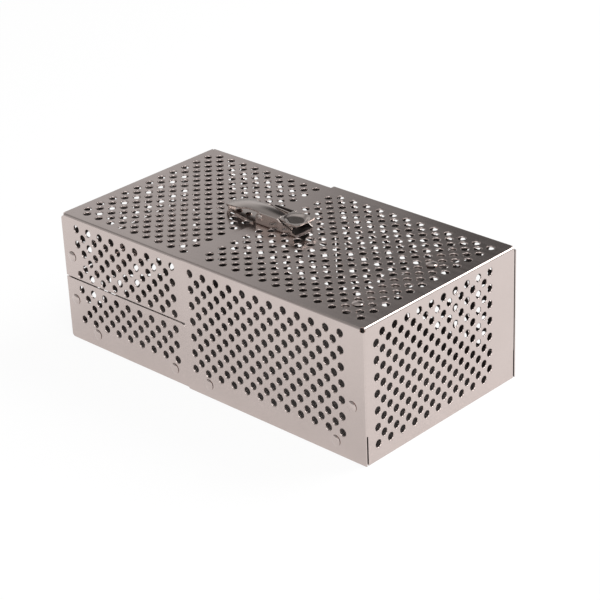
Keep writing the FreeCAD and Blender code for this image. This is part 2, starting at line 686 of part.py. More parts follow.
def make_claw():
    """The claw: an arched plate that tapers to a turned-down bill, with a rolled eye on the lever's pin."""
    claw = new_body("latch_claw")
    steps = range(CLAW_FACETS + 1)
    outer = [claw_point("Sizes.claw_radius", step) for step in steps]
    inner = [claw_point(CLAW_INSIDE, step) for step in reversed(steps)]
    down = "(Sizes.claw_bill_angle * 1 deg)"
    bill = [
        (f"({across} - Sizes.claw_bill * cos({down}))", f"({up} - Sizes.claw_bill * sin({down}))")
        for across, up in (outer[-1], inner[0])
    ]
    pad_across(claw, [outer + bill + inner], f"{CENTRE} - {HALF}", f"{CENTRE} + {HALF}")
    tip = f"({bill[0][0]} - Sizes.latch_sheet)"
    nose = f"({bill[0][0]} + 2 * Sizes.claw_nose)"
    shoulder = f"({CLAW_X} - Sizes.claw_shoulder)"
    neck = f"({CHEEK_LEFT} - Sizes.latch_gap)"
    neck_half = "(Sizes.claw_neck / 2)"
    end = f"({CLAW_X} + Sizes.claw_eye)"
    beyond = f"({HALF} + Sizes.latch_sheet)"
    for side in "-+":
        taper = [
            (tip, f"({CENTRE} {side} Sizes.claw_nose)"),
            (nose, f"({CENTRE} {side} 2 * Sizes.claw_nose)"),
            (shoulder, f"({CENTRE} {side} {HALF})"),
            (shoulder, f"({CENTRE} {side} {beyond})"),
            (tip, f"({CENTRE} {side} {beyond})"),
        ]
        slot = rectangle(neck, f"({CENTRE} {side} {neck_half})", end, f"({CENTRE} {side} {beyond})")
        cut_through(claw, "XY_Plane", [taper])
        cut_through(claw, "XY_Plane", [slot])
    eye = pad_across(claw, [], f"{CENTRE} - {neck_half}", f"{CENTRE} + {neck_half}")
    add_circle(eye.Profile[0], CLAW_X, CLAW_Z, "Sizes.claw_eye / 2")
    bore(claw, CLAW_X, CLAW_Z, "Sizes.claw_pin / 2 + Sizes.pin_fit")


def make_keeper():
    """The keeper on the lid: a pointed plate with an upstand that the claw's bill hooks behind."""
    keeper = new_body("latch_keeper")
    left = f"({claw_point(CLAW_INSIDE, CLAW_FACETS)[0]} + Sizes.keeper_gap)"
    right = f"({left} + Sizes.keeper_length)"
    catch_half = "(Sizes.catch_width / 2)"
    plate_half = f"({HALF} - Sizes.latch_sheet)"
    plate = [
        (left, f"{CENTRE} - {catch_half}"),
        (right, f"{CENTRE} - {plate_half}"),
        (right, f"{CENTRE} + {plate_half}"),
        (left, f"{CENTRE} + {catch_half}"),
    ]
    add_pad(keeper, "XY_Plane", [plate], LID_TOP, "Sizes.latch_sheet")
    catch_top = f"({LID_TOP} + Sizes.latch_sheet + Sizes.catch_height)"
    catch_low = f"({LID_TOP} + Sizes.latch_sheet / 2)"
    catch = rectangle(left, catch_low, f"({left} + Sizes.latch_sheet)", catch_top)
    pad_across(keeper, [catch], f"{CENTRE} - {catch_half}", f"{CENTRE} + {catch_half}")


def make_pins():
    """The headed pin that the lever turns on and the plain pin that carries the claw."""
    start = f"({CENTRE} - {HALF})"
    foot = (LEVER_X, start, LEVER_Z)
    parts = [make_cylinder("lever_pin_shaft", "Sizes.lever_pin / 2", "Sizes.latch_width", foot, BACKWARD)]
    for depth in (f"({start} - Sizes.pin_head_rise)", f"({CENTRE} + {HALF})"):
        foot = (LEVER_X, depth, LEVER_Z)
        head = make_cylinder("lever_pin_head", "Sizes.pin_head / 2", "Sizes.pin_head_rise", foot, BACKWARD)
        parts.append(head)
    join("lever_pin", parts)
    foot = (CLAW_X, f"({CENTRE} - {ARM_OUT})", CLAW_Z)
    make_cylinder("claw_pin", "Sizes.claw_pin / 2", f"2 * {ARM_OUT}", foot, BACKWARD)


def make_latch_rivets():
    """The rivets that hold the latch's base to the hood and the keeper to the lid."""
    first = f"({LEVER_X} + Sizes.base_first_rivet)"
    floor = f"({TOP} + Sizes.latch_sheet)"
    base_places = [
        (first, CENTRE, floor, "up"),
        (f"{first} + Sizes.base_rivet_spacing", CENTRE, floor, "up"),
    ]
    make_rivets("latch_base_rivets", base_places, "small_rivet_head")
    first = f"({LEVER_X} - Sizes.keeper_first_rivet)"
    plate = f"({LID_TOP} + Sizes.latch_sheet)"
    keeper_places = [
        (first, CENTRE, plate, "up"),
        (f"{first} + Sizes.keeper_rivet_spacing", CENTRE, plate, "up"),
    ]
    make_rivets("keeper_rivets", keeper_places, "small_rivet_head")


NODES = [
    "hood", "lid", "lower_front_wall", "lower_back_wall", "lower_end_wall", "bottom_tray", "lid_rest_strip",
    "inner_strap", "tray_rivets", "hood_corner_rivets", "lid_corner_rivets", "lower_corner_rivets",
    "strap_rivets", "hinge_lower_leaf", "hinge_upper_leaf", "hinge_pin", "hinge_lower_rivets",
    "hinge_upper_rivets", "latch_base", "latch_lever", "latch_claw", "latch_keeper", "lever_pin", "claw_pin",
    "latch_base_rivets", "keeper_rivets",
]


def check_document():
    """Stop if any object failed or any sub-part has no sound solid."""
    failed = [thing.Name for thing in doc.Objects if {"Invalid", "Error"} & set(thing.State)]
    if failed:
        raise RuntimeError(f"objects failed: {failed}")
    for label in NODES:
        shape = doc.getObjectsByLabel(label)[0].Shape
        if shape.isNull() or not shape.isValid() or not shape.Solids:
            raise RuntimeError(f"{label} is not a sound solid")


make_hood()
make_lid()
make_lower_side("lower_front_wall", "-1")
make_lower_side("lower_back_wall", "1")
make_lower_end()
make_tray()
make_rest_strip()
make_strap()
make_box_rivets()
make_hinge()
make_latch_base()
make_lever()
make_claw()
make_keeper()
make_pins()
make_latch_rivets()
doc.recompute()
check_document()

os.makedirs("parts", exist_ok=True)
for label in NODES:
    doc.getObjectsByLabel(label)[0].Shape.exportStep(f"parts/{label}.step")
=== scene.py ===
import itertools
import json
import logging
import math
from dataclasses import dataclass
from enum import Enum
from typing import NamedTuple

import bpy
import numpy as np
from mathutils import Matrix, Vector


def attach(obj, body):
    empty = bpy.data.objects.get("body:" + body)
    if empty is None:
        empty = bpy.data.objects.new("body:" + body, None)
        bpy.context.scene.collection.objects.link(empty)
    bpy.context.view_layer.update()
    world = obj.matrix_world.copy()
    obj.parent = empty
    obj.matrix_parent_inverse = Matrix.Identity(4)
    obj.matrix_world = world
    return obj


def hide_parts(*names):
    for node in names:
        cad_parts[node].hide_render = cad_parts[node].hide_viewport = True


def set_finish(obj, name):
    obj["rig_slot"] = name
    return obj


# Dress of a perforated steel sterilization container. Lengths are written in millimetres and put into the
# meshes in metres. +X points to the closed right end, +Y to the back and +Z up.

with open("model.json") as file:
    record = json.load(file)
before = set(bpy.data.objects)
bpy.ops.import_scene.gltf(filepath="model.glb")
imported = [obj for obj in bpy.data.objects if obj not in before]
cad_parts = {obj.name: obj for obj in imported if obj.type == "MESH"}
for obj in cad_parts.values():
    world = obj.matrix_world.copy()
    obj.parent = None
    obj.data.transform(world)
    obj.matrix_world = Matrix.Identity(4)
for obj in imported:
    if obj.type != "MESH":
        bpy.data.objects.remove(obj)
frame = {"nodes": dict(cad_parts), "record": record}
logging.basicConfig(level=logging.INFO, format="%(message)s")
log = logging.getLogger("container")
METRES = 0.001
SHEET = 0.7
GRAIN_HEIGHT = 0.00005


class Body(Enum):
    """The bodies that the pieces ride on."""

    BASE = "base"
    LID = "lid"
    LEVER = "lever"
    CLAW = "claw"


class Slot(Enum):
    """The record's material slots."""

    PERFORATED = "perforated_sheet"
    PLAIN = "plain_sheet"
    RIVET = "rivet_steel"
    HINGE = "hinge_steel"
    LATCH = "latch_steel"
    PIN = "pin_steel"


def add_node(tree: bpy.types.NodeTree, kind: str, inputs: dict[str | int, object] | None = None,
             **settings: object) -> bpy.types.Node:
    """Add a node to a tree.

    Args:
        tree: The tree that gets the node.
        kind: The node's type without the ShaderNode prefix.
        inputs: What its inputs get, by name or number: an output to link, or else a value.
        settings: Attributes to set on the node first.

    Returns:
        The new node.
    """
    node = tree.nodes.new("ShaderNode" + kind)
    for name, value in settings.items():
        setattr(node, name, value)
    for label, value in (inputs or {}).items():
        if isinstance(value, bpy.types.NodeSocket):
            tree.links.new(value, node.inputs[label])
        else:
            node.inputs[label].default_value = value
    return node


def new_group(name: str, inputs: dict[str, float], outputs: list[str]) -> bpy.types.NodeTree:
    """Make an empty node group with named float sockets and one vector socket called Place.

    Args:
        name: The group's name.
        inputs: Input names with their default values.
        outputs: Names of the float outputs.

    Returns:
        The group's node tree, its Group Input and Group Output nodes named in and out.
    """
    group = bpy.data.node_groups.new(name, "ShaderNodeTree")
    group.interface.new_socket("Place", in_out="INPUT", socket_type="NodeSocketVector")
    for label, default in inputs.items():
        socket = group.interface.new_socket(label, in_out="INPUT", socket_type="NodeSocketFloat")
        socket.default_value = default
    for label in outputs:
        group.interface.new_socket(label, in_out="OUTPUT", socket_type="NodeSocketFloat")
    group.nodes.new("NodeGroupInput").name = "in"
    group.nodes.new("NodeGroupOutput").name = "out"
    return group


def rolled_grain_group() -> bpy.types.NodeTree:
    """Fine parallel grain of rolled sheet: noise drawn out along the sheet, as a height and a mask.

    Returns:
        The node group.
    """
    group = new_group("rolled_grain", {"Length": 0.05, "Fineness": 2600.0}, ["Height", "Mask"])
    given, result = group.nodes["in"].outputs, group.nodes["out"].inputs
    stretch = add_node(group, "CombineXYZ", {"X": given["Length"], "Y": 1.0, "Z": 1.0})
    drawn = add_node(group, "VectorMath", {0: given["Place"], 1: stretch.outputs["Vector"]},
                     operation="MULTIPLY")
    place = drawn.outputs["Vector"]
    fine = add_node(group, "TexNoise", {"Detail": 3.0, "Vector": place, "Scale": given["Fineness"]})
    broad = add_node(group, "TexNoise", {"Detail": 2.0, "Vector": place, "Scale": 420.0})
    group.links.new(fine.outputs["Fac"], result["Height"])
    group.links.new(broad.outputs["Fac"], result["Mask"])
    return group


def handling_group() -> bpy.types.NodeTree:
    """Soft cloudy marks of washing and handling: broad noise about a half, times a contrast, as a mask.

    Returns:
        The node group.
    """
    group = new_group("handling_marks", {"Spread": 22.0, "Contrast": 1.6}, ["Mask"])
    given = group.nodes["in"].outputs
    cloud = add_node(group, "TexNoise", {"Detail": 4.0, "Roughness": 0.62, "Vector": given["Place"],
                                         "Scale": given["Spread"]})
    centred = add_node(group, "Math", {0: cloud.outputs["Fac"], 1: 0.5}, operation="SUBTRACT")
    raised = add_node(group, "Math", {0: centred.outputs["Value"], 1: given["Contrast"], 2: 0.5},
                      operation="MULTIPLY_ADD", use_clamp=True)
    group.links.new(raised.outputs["Value"], group.nodes["out"].inputs["Mask"])
    return group


@dataclass(frozen=True)
class SteelFinish:
    """A stainless steel finish: its colour, its gloss and how strongly grain and handling marks show."""

    name: str
    colour: tuple[float, float, float]
    dull_colour: tuple[float, float, float]
    roughness: float
    roughness_spread: float
    grain_depth: float = 0.1

    def material(self, groups: dict[str, bpy.types.NodeTree]) -> bpy.types.Material:
        """Build the material.

        Args:
            groups: The shared node groups by name.

        Returns:
            The material.
        """
        steel = bpy.data.materials.new(self.name)
        steel.use_nodes = True
        tree = steel.node_tree
        shader = tree.nodes["Principled BSDF"]
        shader.inputs["Metallic"].default_value = 1.0
        place = add_node(tree, "TexCoord").outputs["Object"]
        grain = add_node(tree, "Group", {"Place": place}, node_tree=groups["grain"])
        marks = add_node(tree, "Group", {"Place": place}, node_tree=groups["marks"])
        tone = add_node(tree, "Mix", {"A": (*self.colour, 1.0), "B": (*self.dull_colour, 1.0),
                                      "Factor": marks.outputs["Mask"]}, data_type="RGBA")
        both = add_node(tree, "Math", {0: grain.outputs["Mask"], 1: marks.outputs["Mask"]}, operation="ADD")
        low, high = self.roughness - self.roughness_spread, self.roughness + self.roughness_spread
        gloss = add_node(tree, "MapRange", {"Value": both.outputs["Value"], "From Min": 0.6, "From Max": 1.4,
                                            "To Min": low, "To Max": high})
        bump = add_node(tree, "Bump", {"Strength": self.grain_depth, "Distance": GRAIN_HEIGHT,
                                       "Height": grain.outputs["Height"]})
        for output, label in ((tone.outputs["Result"], "Base Color"), (gloss.outputs["Result"], "Roughness"),
                              (bump.outputs["Normal"], "Normal")):
            tree.links.new(output, shader.inputs[label])
        return steel


SHEET_TONES = ((0.60, 0.52, 0.493), (0.55, 0.473, 0.447))
FINISHES = {
    Slot.PERFORATED: SteelFinish("satin_punched_sheet", *SHEET_TONES, 0.2, 0.04),
    # Painted shade: the plain tray sheet is darkened so that it paints the shade inside the container.
    Slot.PLAIN: SteelFinish("plain_sheet_painted_shade", (0.26, 0.235, 0.225), (0.22, 0.2, 0.19), 0.4, 0.06),
    Slot.RIVET: SteelFinish("polished_rivet", *SHEET_TONES, 0.15, 0.04, grain_depth=0.03),
    Slot.HINGE: SteelFinish("satin_hinge", (0.58, 0.51, 0.48), (0.52, 0.45, 0.43), 0.25, 0.06),
    Slot.LATCH: SteelFinish("polished_latch", (0.58, 0.515, 0.485), (0.5, 0.44, 0.41), 0.17, 0.04, 0.04),
    Slot.PIN: SteelFinish("polished_pin", (0.62, 0.55, 0.52), (0.56, 0.5, 0.47), 0.16, 0.04, 0.02),
}
# Painted shade: the inner skins, the latch undersides and the bracket's cut end are the same steel, given
# this dark tone to paint the shade they lie in.
INNER_PAINTED_SHADE = SteelFinish("inner_sheet_painted_shade", (0.14, 0.123, 0.118), (0.11, 0.097, 0.093), 0.45, 0.06)


class Faces(NamedTuple):
    """Faces of one size with their shading, and whether they lie on the inner skin, which takes the dark
    material of painted shade.
    """

    corners: np.ndarray
    smooth: bool = False
    inside: bool = False


def make_mesh(name: str, points: np.ndarray, blocks: list[Faces]) -> bpy.types.Object:
    """Put whole arrays into a mesh object.

    Args:
        name: The object's name.
        points: Vertices in millimetres, one row each.
        blocks: The faces.

    Returns:
        The linked object, at the origin.
    """
    sizes = np.concatenate([np.full(len(block.corners), block.corners.shape[1]) for block in blocks])
    smooth = np.concatenate([np.full(len(block.corners), block.smooth) for block in blocks])
    inside = np.concatenate([np.full(len(block.corners), block.inside) for block in blocks])
    corners = np.concatenate([block.corners.ravel() for block in blocks])
    starts = np.concatenate([[0], np.cumsum(sizes)[:-1]])
    mesh = bpy.data.meshes.new(name)
    mesh.vertices.add(len(points))
    mesh.vertices.foreach_set("co", (points * METRES).astype(np.float32).ravel())
    mesh.loops.add(len(corners))
    mesh.loops.foreach_set("vertex_index", corners.astype(np.int32))
    mesh.polygons.add(len(sizes))
    mesh.polygons.foreach_set("loop_start", starts.astype(np.int32))
    mesh.polygons.foreach_set("use_smooth", smooth)
    mesh.polygons.foreach_set("material_index", inside.astype(np.int32))
    mesh.update(calc_edges=True)
    mesh.validate()
    piece = bpy.data.objects.new(name, mesh)
    bpy.context.scene.collection.objects.link(piece)
    return piece


def read_out(items: bpy.types.bpy_prop_collection, name: str, kind: type, width: int = 1) -> np.ndarray:
    """Read one attribute of all of a mesh's vertices, corners or faces.

    Args:
        items: The vertices, corners or faces.
        name: The attribute.
        kind: The numbers' type.
        width: How many numbers each item has.

    Returns:
        The numbers in a row.
    """
    values = np.empty(len(items) * width, dtype=kind)
    items.foreach_get(name, values)
    return values


def mark_sharp(piece: bpy.types.Object, degrees: float) -> None:
    """Mark edges as sharp by the angle between their faces, and keep the flat faces flat.

    Args:
        piece: The piece.
        degrees: The least angle of a sharp edge.
    """
    smooth = read_out(piece.data.polygons, "use_smooth", bool)
    piece.data.set_sharp_from_angle(angle=math.radians(degrees))
    piece.data.polygons.foreach_set("use_smooth", smooth)


class SheetShell:
    """Bent sheet metal as two matching skins: every outer point has a partner on the inner skin.

    The skins are joined by walls at the free edges and in the punched holes.
    """

    def __init__(self) -> None:
        """Start with no faces."""
        self.outer: list[np.ndarray] = []
        self.inner: list[np.ndarray] = []
        self.blocks: list[Faces] = []
        self.polygons: list[np.ndarray] = []
        self.lips: list[tuple[np.ndarray, np.ndarray]] = []
        self.count = 0

    def add_points(self, outer: np.ndarray, inner: np.ndarray) -> np.ndarray:
        """Add matching points of both skins.

        Args:
            outer: Points of the outer skin, in an array of any shape that ends in 3.
            inner: Their partners.

        Returns:
            The points' numbers, in the same shape without its last length.
        """
        number = outer.reshape(-1, 3).shape[0]
        self.outer.append(outer.reshape(-1, 3))
        self.inner.append(inner.reshape(-1, 3))
        self.count += number
        return np.arange(self.count - number, self.count).reshape(outer.shape[:-1])

    def add_grid(self, outer: np.ndarray, inner: np.ndarray, smooth: bool = True) -> None:
        """Add a grid of quads over two parameters, turned so that it faces away from the inner skin.

        Args:
            outer: Points of the outer skin, by first and second parameter.
            inner: Their partners.
            smooth: Whether the quads shade smooth.
        """
        numbers = self.add_points(outer, inner)
        quads = np.stack([numbers[:-1, :-1], numbers[1:, :-1], numbers[1:, 1:], numbers[:-1, 1:]], axis=-1)
        middle = (outer.shape[0] // 2 - 1, outer.shape[1] // 2 - 1)
        across = outer[middle[0] + 1, middle[1]] - outer[middle]
        along = outer[middle[0], middle[1] + 1] - outer[middle]
        if np.dot(np.cross(across, along), outer[middle] - inner[middle]) < 0:
            quads = quads[..., ::-1]
        self.blocks.append(Faces(quads.reshape(-1, 4), smooth))

    def piece(self, name: str) -> bpy.types.Object:
        """Weld the skins, join them and make the object.

        Args:
            name: The object's name.

        Returns:
            The object.
        """
        outer = np.concatenate(self.outer)
        inner = np.concatenate(self.inner)
        _, first, weld = np.unique(np.round(outer, 3), axis=0, return_index=True, return_inverse=True)
        weld = weld.reshape(-1)
        outer, inner = outer[first], inner[first]
        total = len(outer)
        blocks = [Faces(weld[block.corners], block.smooth) for block in self.blocks]
        blocks += [Faces(stitched(weld[polygon], outer)[None, :]) for polygon in self.polygons]
        lips = [(weld[lip], throat) for lip, throat in self.lips]
        on_lip = np.zeros(total, dtype=bool)
        for lip, _ in lips:
            on_lip[lip] = True
        pairs = [np.stack([block.corners, np.roll(block.corners, -1, axis=1)], axis=-1) for block in blocks]
        edges = np.concatenate([pair.reshape(-1, 2) for pair in pairs])
        keys = np.sort(edges, axis=1) @ np.array([total, 1])
        _, index, uses = np.unique(keys, return_index=True, return_counts=True)
        free = edges[index[uses == 1]]
        free = free[~(on_lip[free[:, 0]] & on_lip[free[:, 1]])]
        rims = np.stack([free[:, 1], free[:, 0], free[:, 0] + total, free[:, 1] + total], axis=1)
        points = [outer, inner]
        # The inner skin's faces are marked inside, so they take the dark material that paints the shade under
        # the sheet.
        faces = blocks + [Faces(block.corners[:, ::-1] + total, block.smooth, True) for block in blocks]
        faces.append(Faces(rims))
        placed = 2 * total
        for lip, throat in lips:
            numbers = placed + np.arange(throat[..., 0].size).reshape(throat.shape[:-1])
            placed += numbers.size
            points.append(throat.reshape(-1, 3))
            rings = [lip, *numbers, lip + total]
            for start, end in zip(rings, rings[1:]):
                ahead, beyond = np.roll(start, -1, axis=1), np.roll(end, -1, axis=1)
                wall = np.stack([start, ahead, beyond, end], axis=-1)
                faces.append(Faces(wall.reshape(-1, 4), smooth=True))
        sheet = make_mesh(name, np.concatenate(points), faces)
        mark_sharp(sheet, 35)
        return sheet


def stitched(polygon: np.ndarray, points: np.ndarray) -> np.ndarray:
    """Insert every point that lies on a polygon's edges into the polygon.

    Args:
        polygon: The numbers of the polygon's corners in order.
        points: All points.

    Returns:
        The numbers of all points along the outline, in order.
    """
    runs = []
    for start, end in zip(polygon, np.roll(polygon, -1)):
        step = points[end] - points[start]
        offsets = points - points[start]
        part = offsets @ step / (step @ step)
        away = np.linalg.norm(offsets - part[:, None] * step, axis=1)
        on_edge = np.flatnonzero((part > 1e-6) & (part < 1 - 1e-6) & (away < 2e-3))
        runs.append(np.concatenate([[start], on_edge[np.argsort(part[on_edge])]]))
    return np.concatenate(runs)


@dataclass(frozen=True)
class Plane:
    """A flat of the sheet: where its two coordinates start, the ways they run and the way it faces."""

    origin: tuple[float, float, float]
    across: tuple[float, float, float]
    up: tuple[float, float, float]
    facing: tuple[float, float, float]

    def at(self, places: np.ndarray, depth: float) -> np.ndarray:
        """Points of the plane, some depth under its face.

        Args:
            places: The two coordinates, last in the array.
            depth: The depth in millimetres.

        Returns:
            Points in space.
        """
        across, up, facing = (np.array(axis) for axis in (self.across, self.up, self.facing))
        return np.array(self.origin) + places[..., :1] * across + places[..., 1:] * up - depth * facing

    @property
    def turned(self) -> bool:
        """Whether the coordinates run clockwise seen from outside."""
        return float(np.dot(np.cross(self.across, self.up), self.facing)) < 0


@dataclass(frozen=True)
class Lattice:
    """Staggered round holes: full rows one pitch apart and shifted rows halfway between them.

    Each hole sits in a brick one pitch wide and half a pitch high, joined to it by a ring of quads. Its edge
    is rolled in by the punch.
    """

    first: tuple[float, float]
    columns: int
    rows: int
    pitch: tuple[float, float]
    shift: tuple[int, int]
    shifted_columns: int
    shifted_rows: int
    left_out: tuple[tuple[int, int], ...] = ()
    hole: float = 4.5
    roll: float = 0.35

    def centres(self) -> np.ndarray:
        """The holes' centres, with a third column that is 1 where the hole is punched."""
        start = np.array(self.first)
        shifted = start + np.array(self.shift) * np.array(self.pitch) / 2
        fields = []
        for corner, columns, rows, gone in (
            (start, self.columns, self.rows, self.left_out),
            (shifted, self.shifted_columns, self.shifted_rows, ()),
        ):
            column, row = np.meshgrid(np.arange(columns), np.arange(rows), indexing="ij")
            punched = np.ones(column.shape)
            for place in gone:
                punched[place] = 0.0
            places = (corner[0] + self.pitch[0] * column, corner[1] + self.pitch[1] * row, punched)
            fields.append(np.stack(places, axis=-1).reshape(-1, 3))
        return np.concatenate(fields)

    def box(self) -> tuple[float, float, float, float]:
        """The field's left, low, right and high bounds."""
        centres = self.centres()
        low, high = centres.min(axis=0), centres.max(axis=0)
        half, quarter = self.pitch[0] / 2, self.pitch[1] / 4
        return low[0] - half, low[1] - quarter, high[0] + half, high[1] + quarter

    def brick(self) -> np.ndarray:
        """Eighteen points round a brick, six along and three up, from the middle of its right side."""
        half, quarter = self.pitch[0] / 2, self.pitch[1] / 4
        right = np.linspace(-quarter, quarter, 4)[:-1]
        top = np.linspace(half, -half, 7)[:-1]
        sides = [
            np.stack([np.full(3, half), right], axis=1),
            np.stack([top, np.full(6, quarter)], axis=1),
            np.stack([np.full(3, -half), -right], axis=1),
            np.stack([-top, np.full(6, -quarter)], axis=1),
        ]
        return np.roll(np.concatenate(sides), -1, axis=0)

    def punch(self, shell: SheetShell, plane: Plane) -> None:
        """Add the bricks with their holes, and the plain fillers at the ends of the rows.

        Args:
            shell: The sheet.
            plane: The flat that the field lies in.
        """
        centres = self.centres()
        brick = self.brick()
        # The brick's first point lies a sixth of its side under the middle, so the circle starts a little low
        angles = (np.arange(18) - 0.5) * math.tau / 18
        circle = np.stack([np.cos(angles), np.sin(angles)], axis=1)
        if plane.turned:
            brick, circle = brick[::-1], circle[::-1]
        radius = self.hole / 2
        holes = centres[centres[:, 2] > 0][:, None, :2]
        brick_numbers = shell.add_points(plane.at(holes + brick, 0), plane.at(holes + brick, SHEET))
        lip_numbers = shell.add_points(plane.at(holes + circle * (radius + self.roll), 0),
                                       plane.at(holes + circle * radius, SHEET))
        ahead, lip_ahead = np.roll(brick_numbers, -1, axis=1), np.roll(lip_numbers, -1, axis=1)
        ring = np.stack([brick_numbers, ahead, lip_ahead, lip_numbers], axis=-1)
        shell.blocks.append(Faces(ring.reshape(-1, 4)))
        throat = [plane.at(holes + circle * (radius + 0.4 * self.roll), 0.2 * self.roll),
                  plane.at(holes + circle * radius, 0.8 * self.roll)]
        shell.lips.append((lip_numbers, np.stack(throat)))
        left, _, right_end, _ = self.box()
        half, quarter = self.pitch[0] / 2, self.pitch[1] / 4
        gaps = centres[centres[:, 2] == 0]
        plain = [rectangle(x - half, y - quarter, x + half, y + quarter) for x, y, _ in gaps]
        for height in np.unique(np.round(centres[:, 1], 4)):
            row = centres[np.abs(centres[:, 1] - height) < 0.01, 0]
            for start, end in ((left, row.min() - half), (row.max() + half, right_end)):
                if end - start > 0.01:
                    plain.append(rectangle(start, height - quarter, end, height + quarter))
        for outline in plain:
            add_polygon(shell, plane, outline)


def rectangle(left: float, low: float, right: float, high: float) -> np.ndarray:
    """The corners of a rectangle."""
    return np.array([(left, low), (right, low), (right, high), (left, high)])


def clipped(outline: np.ndarray, axis: int, limit: float, keep_high: bool) -> np.ndarray:
    """Clip a polygon by a line square to one axis.

    Args:
        outline: The polygon's corners.
        axis: 0 to clip by the first coordinate, 1 by the second.
        limit: Where the line lies.
        keep_high: Whether the part beyond the line stays.

    Returns:
        The clipped polygon's corners.
    """
    sign = 1.0 if keep_high else -1.0
    result = []
    for start, end in zip(outline, np.roll(outline, -1, axis=0)):
        before, after = sign * (start[axis] - limit), sign * (end[axis] - limit)
        if before >= 0:
            result.append(start)
        if before * after < 0:
            result.append(start + (end - start) * before / (before - after))
    return np.array(result)


def add_polygon(shell: SheetShell, plane: Plane, outline: np.ndarray) -> None:
    """Add one plain polygon of a flat, turned to face outward.

    Args:
        shell: The sheet.
        plane: The flat.
        outline: The corners in the flat's coordinates.
    """
    x, y = outline[:, 0], outline[:, 1]
    area = float(np.sum(x * np.roll(y, -1) - np.roll(x, -1) * y))
    if (area < 0) != plane.turned:
        outline = outline[::-1]
    shell.polygons.append(shell.add_points(plane.at(outline, 0), plane.at(outline, SHEET)))


def add_flat(shell: SheetShell, plane: Plane, outline: np.ndarray, lattice: Lattice) -> None:
    """Add a punched flat: the lattice's field and the four plain margins around it.

    Args:
        shell: The sheet.
        plane: The flat.
        outline: The flat's corners in its coordinates.
        lattice: The holes.
    """
    lattice.punch(shell, plane)
    left, low, right, high = lattice.box()
    middle = clipped(clipped(outline, 1, low, True), 1, high, False)
    margins = (
        clipped(outline, 1, low, False),
        clipped(outline, 1, high, True),
        clipped(middle, 0, left, False),
        clipped(middle, 0, right, True),
    )
    for margin in margins:
        add_polygon(shell, plane, margin)


def add_bend(shell: SheetShell, ends: tuple[np.ndarray, np.ndarray], start: np.ndarray, finish: np.ndarray,
             radius: float, segments: int = 8) -> None:
    """Add a quarter bend: an arc from one facing to the next, carried along its axis.

    Args:
        shell: The sheet.
        ends: The two ends of the bend's axis.
        start: The facing where it starts.
        finish: The facing where it ends.
        radius: The outer radius.
        segments: The number of facets round the bend.
    """
    angles = np.linspace(0, math.pi / 2, segments + 1)
    ways = np.cos(angles)[:, None] * start + np.sin(angles)[:, None] * finish
    axis = np.stack(ends)
    shell.add_grid(axis[:, None, :] + radius * ways, axis[:, None, :] + (radius - SHEET) * ways)


X_WAY, Y_WAY, Z_WAY = np.eye(3)
FLANGE_BEND = 1.0
FOLD_GAP = 0.12


@dataclass
class FoldedCover:
    """A sheet folded down to a front, a back and one end, as the hood and the lid are."""

    name: str
    body: Body
    node: str
    open_x: float
    end_x: float
    half_width: float
    top: float
    low: float
    sides: Lattice
    roof: Lattice
    end: Lattice
    flange: float
    flange_low: float
    bend: float = 1.2
    notch: float = 2.2
    round_corner: bool = False

    def build(self) -> bpy.types.Object:
        """Make the folded sheet.

        Returns:
            The piece.
        """
        shell = SheetShell()
        inward = 1.0 if self.end_x < self.open_x else -1.0
        edge = self.half_width - self.bend
        fold = self.top - self.bend
        notch_x = self.end_x + inward * self.notch
        bend_x = self.end_x + inward * self.bend
        reach = self.half_width - SHEET - FOLD_GAP - FLANGE_BEND
        if self.round_corner:
            angles = np.linspace(0, math.pi / 2, 7)
            corner = np.stack([notch_x - inward * self.notch * np.cos(angles),
                               fold - self.notch + self.notch * np.sin(angles)], axis=1)
        else:
            notch_z = self.top - self.notch
            corner = np.array([(self.end_x, notch_z), (notch_x, notch_z), (notch_x, fold)])
        foot = [(self.open_x, self.low), (self.end_x, self.low)]
        side = np.concatenate([foot, corner, [(self.open_x, fold)]])
        for way in (-1.0, 1.0):
            plane = Plane((0, way * self.half_width, 0), (1, 0, 0), (0, 0, 1), (0, way, 0))
            add_flat(shell, plane, side, self.sides)
            ends = (np.array([self.open_x, way * edge, fold]), np.array([notch_x, way * edge, fold]))
            add_bend(shell, ends, way * Y_WAY, Z_WAY, self.bend)
        roof = np.array([(self.open_x, -edge), (notch_x, -edge), (notch_x, -reach), (bend_x, -reach),
                         (bend_x, reach), (notch_x, reach), (notch_x, edge), (self.open_x, edge)])
        add_flat(shell, Plane((0, 0, self.top), (1, 0, 0), (0, 1, 0), (0, 0, 1)), roof, self.roof)
        ends = (np.array([bend_x, -reach, fold]), np.array([bend_x, reach, fold]))
        add_bend(shell, ends, -inward * X_WAY, Z_WAY, self.bend)
        flange = (self.flange_low, self.top - self.notch)
        add_end_wall(shell, self.end_x, inward, reach, (self.low, fold), flange, self.flange, self.end)
        piece = shell.piece(self.name)
        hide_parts(self.node)
        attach(piece, self.body.value)
        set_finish(piece, Slot.PERFORATED.value)
        return piece


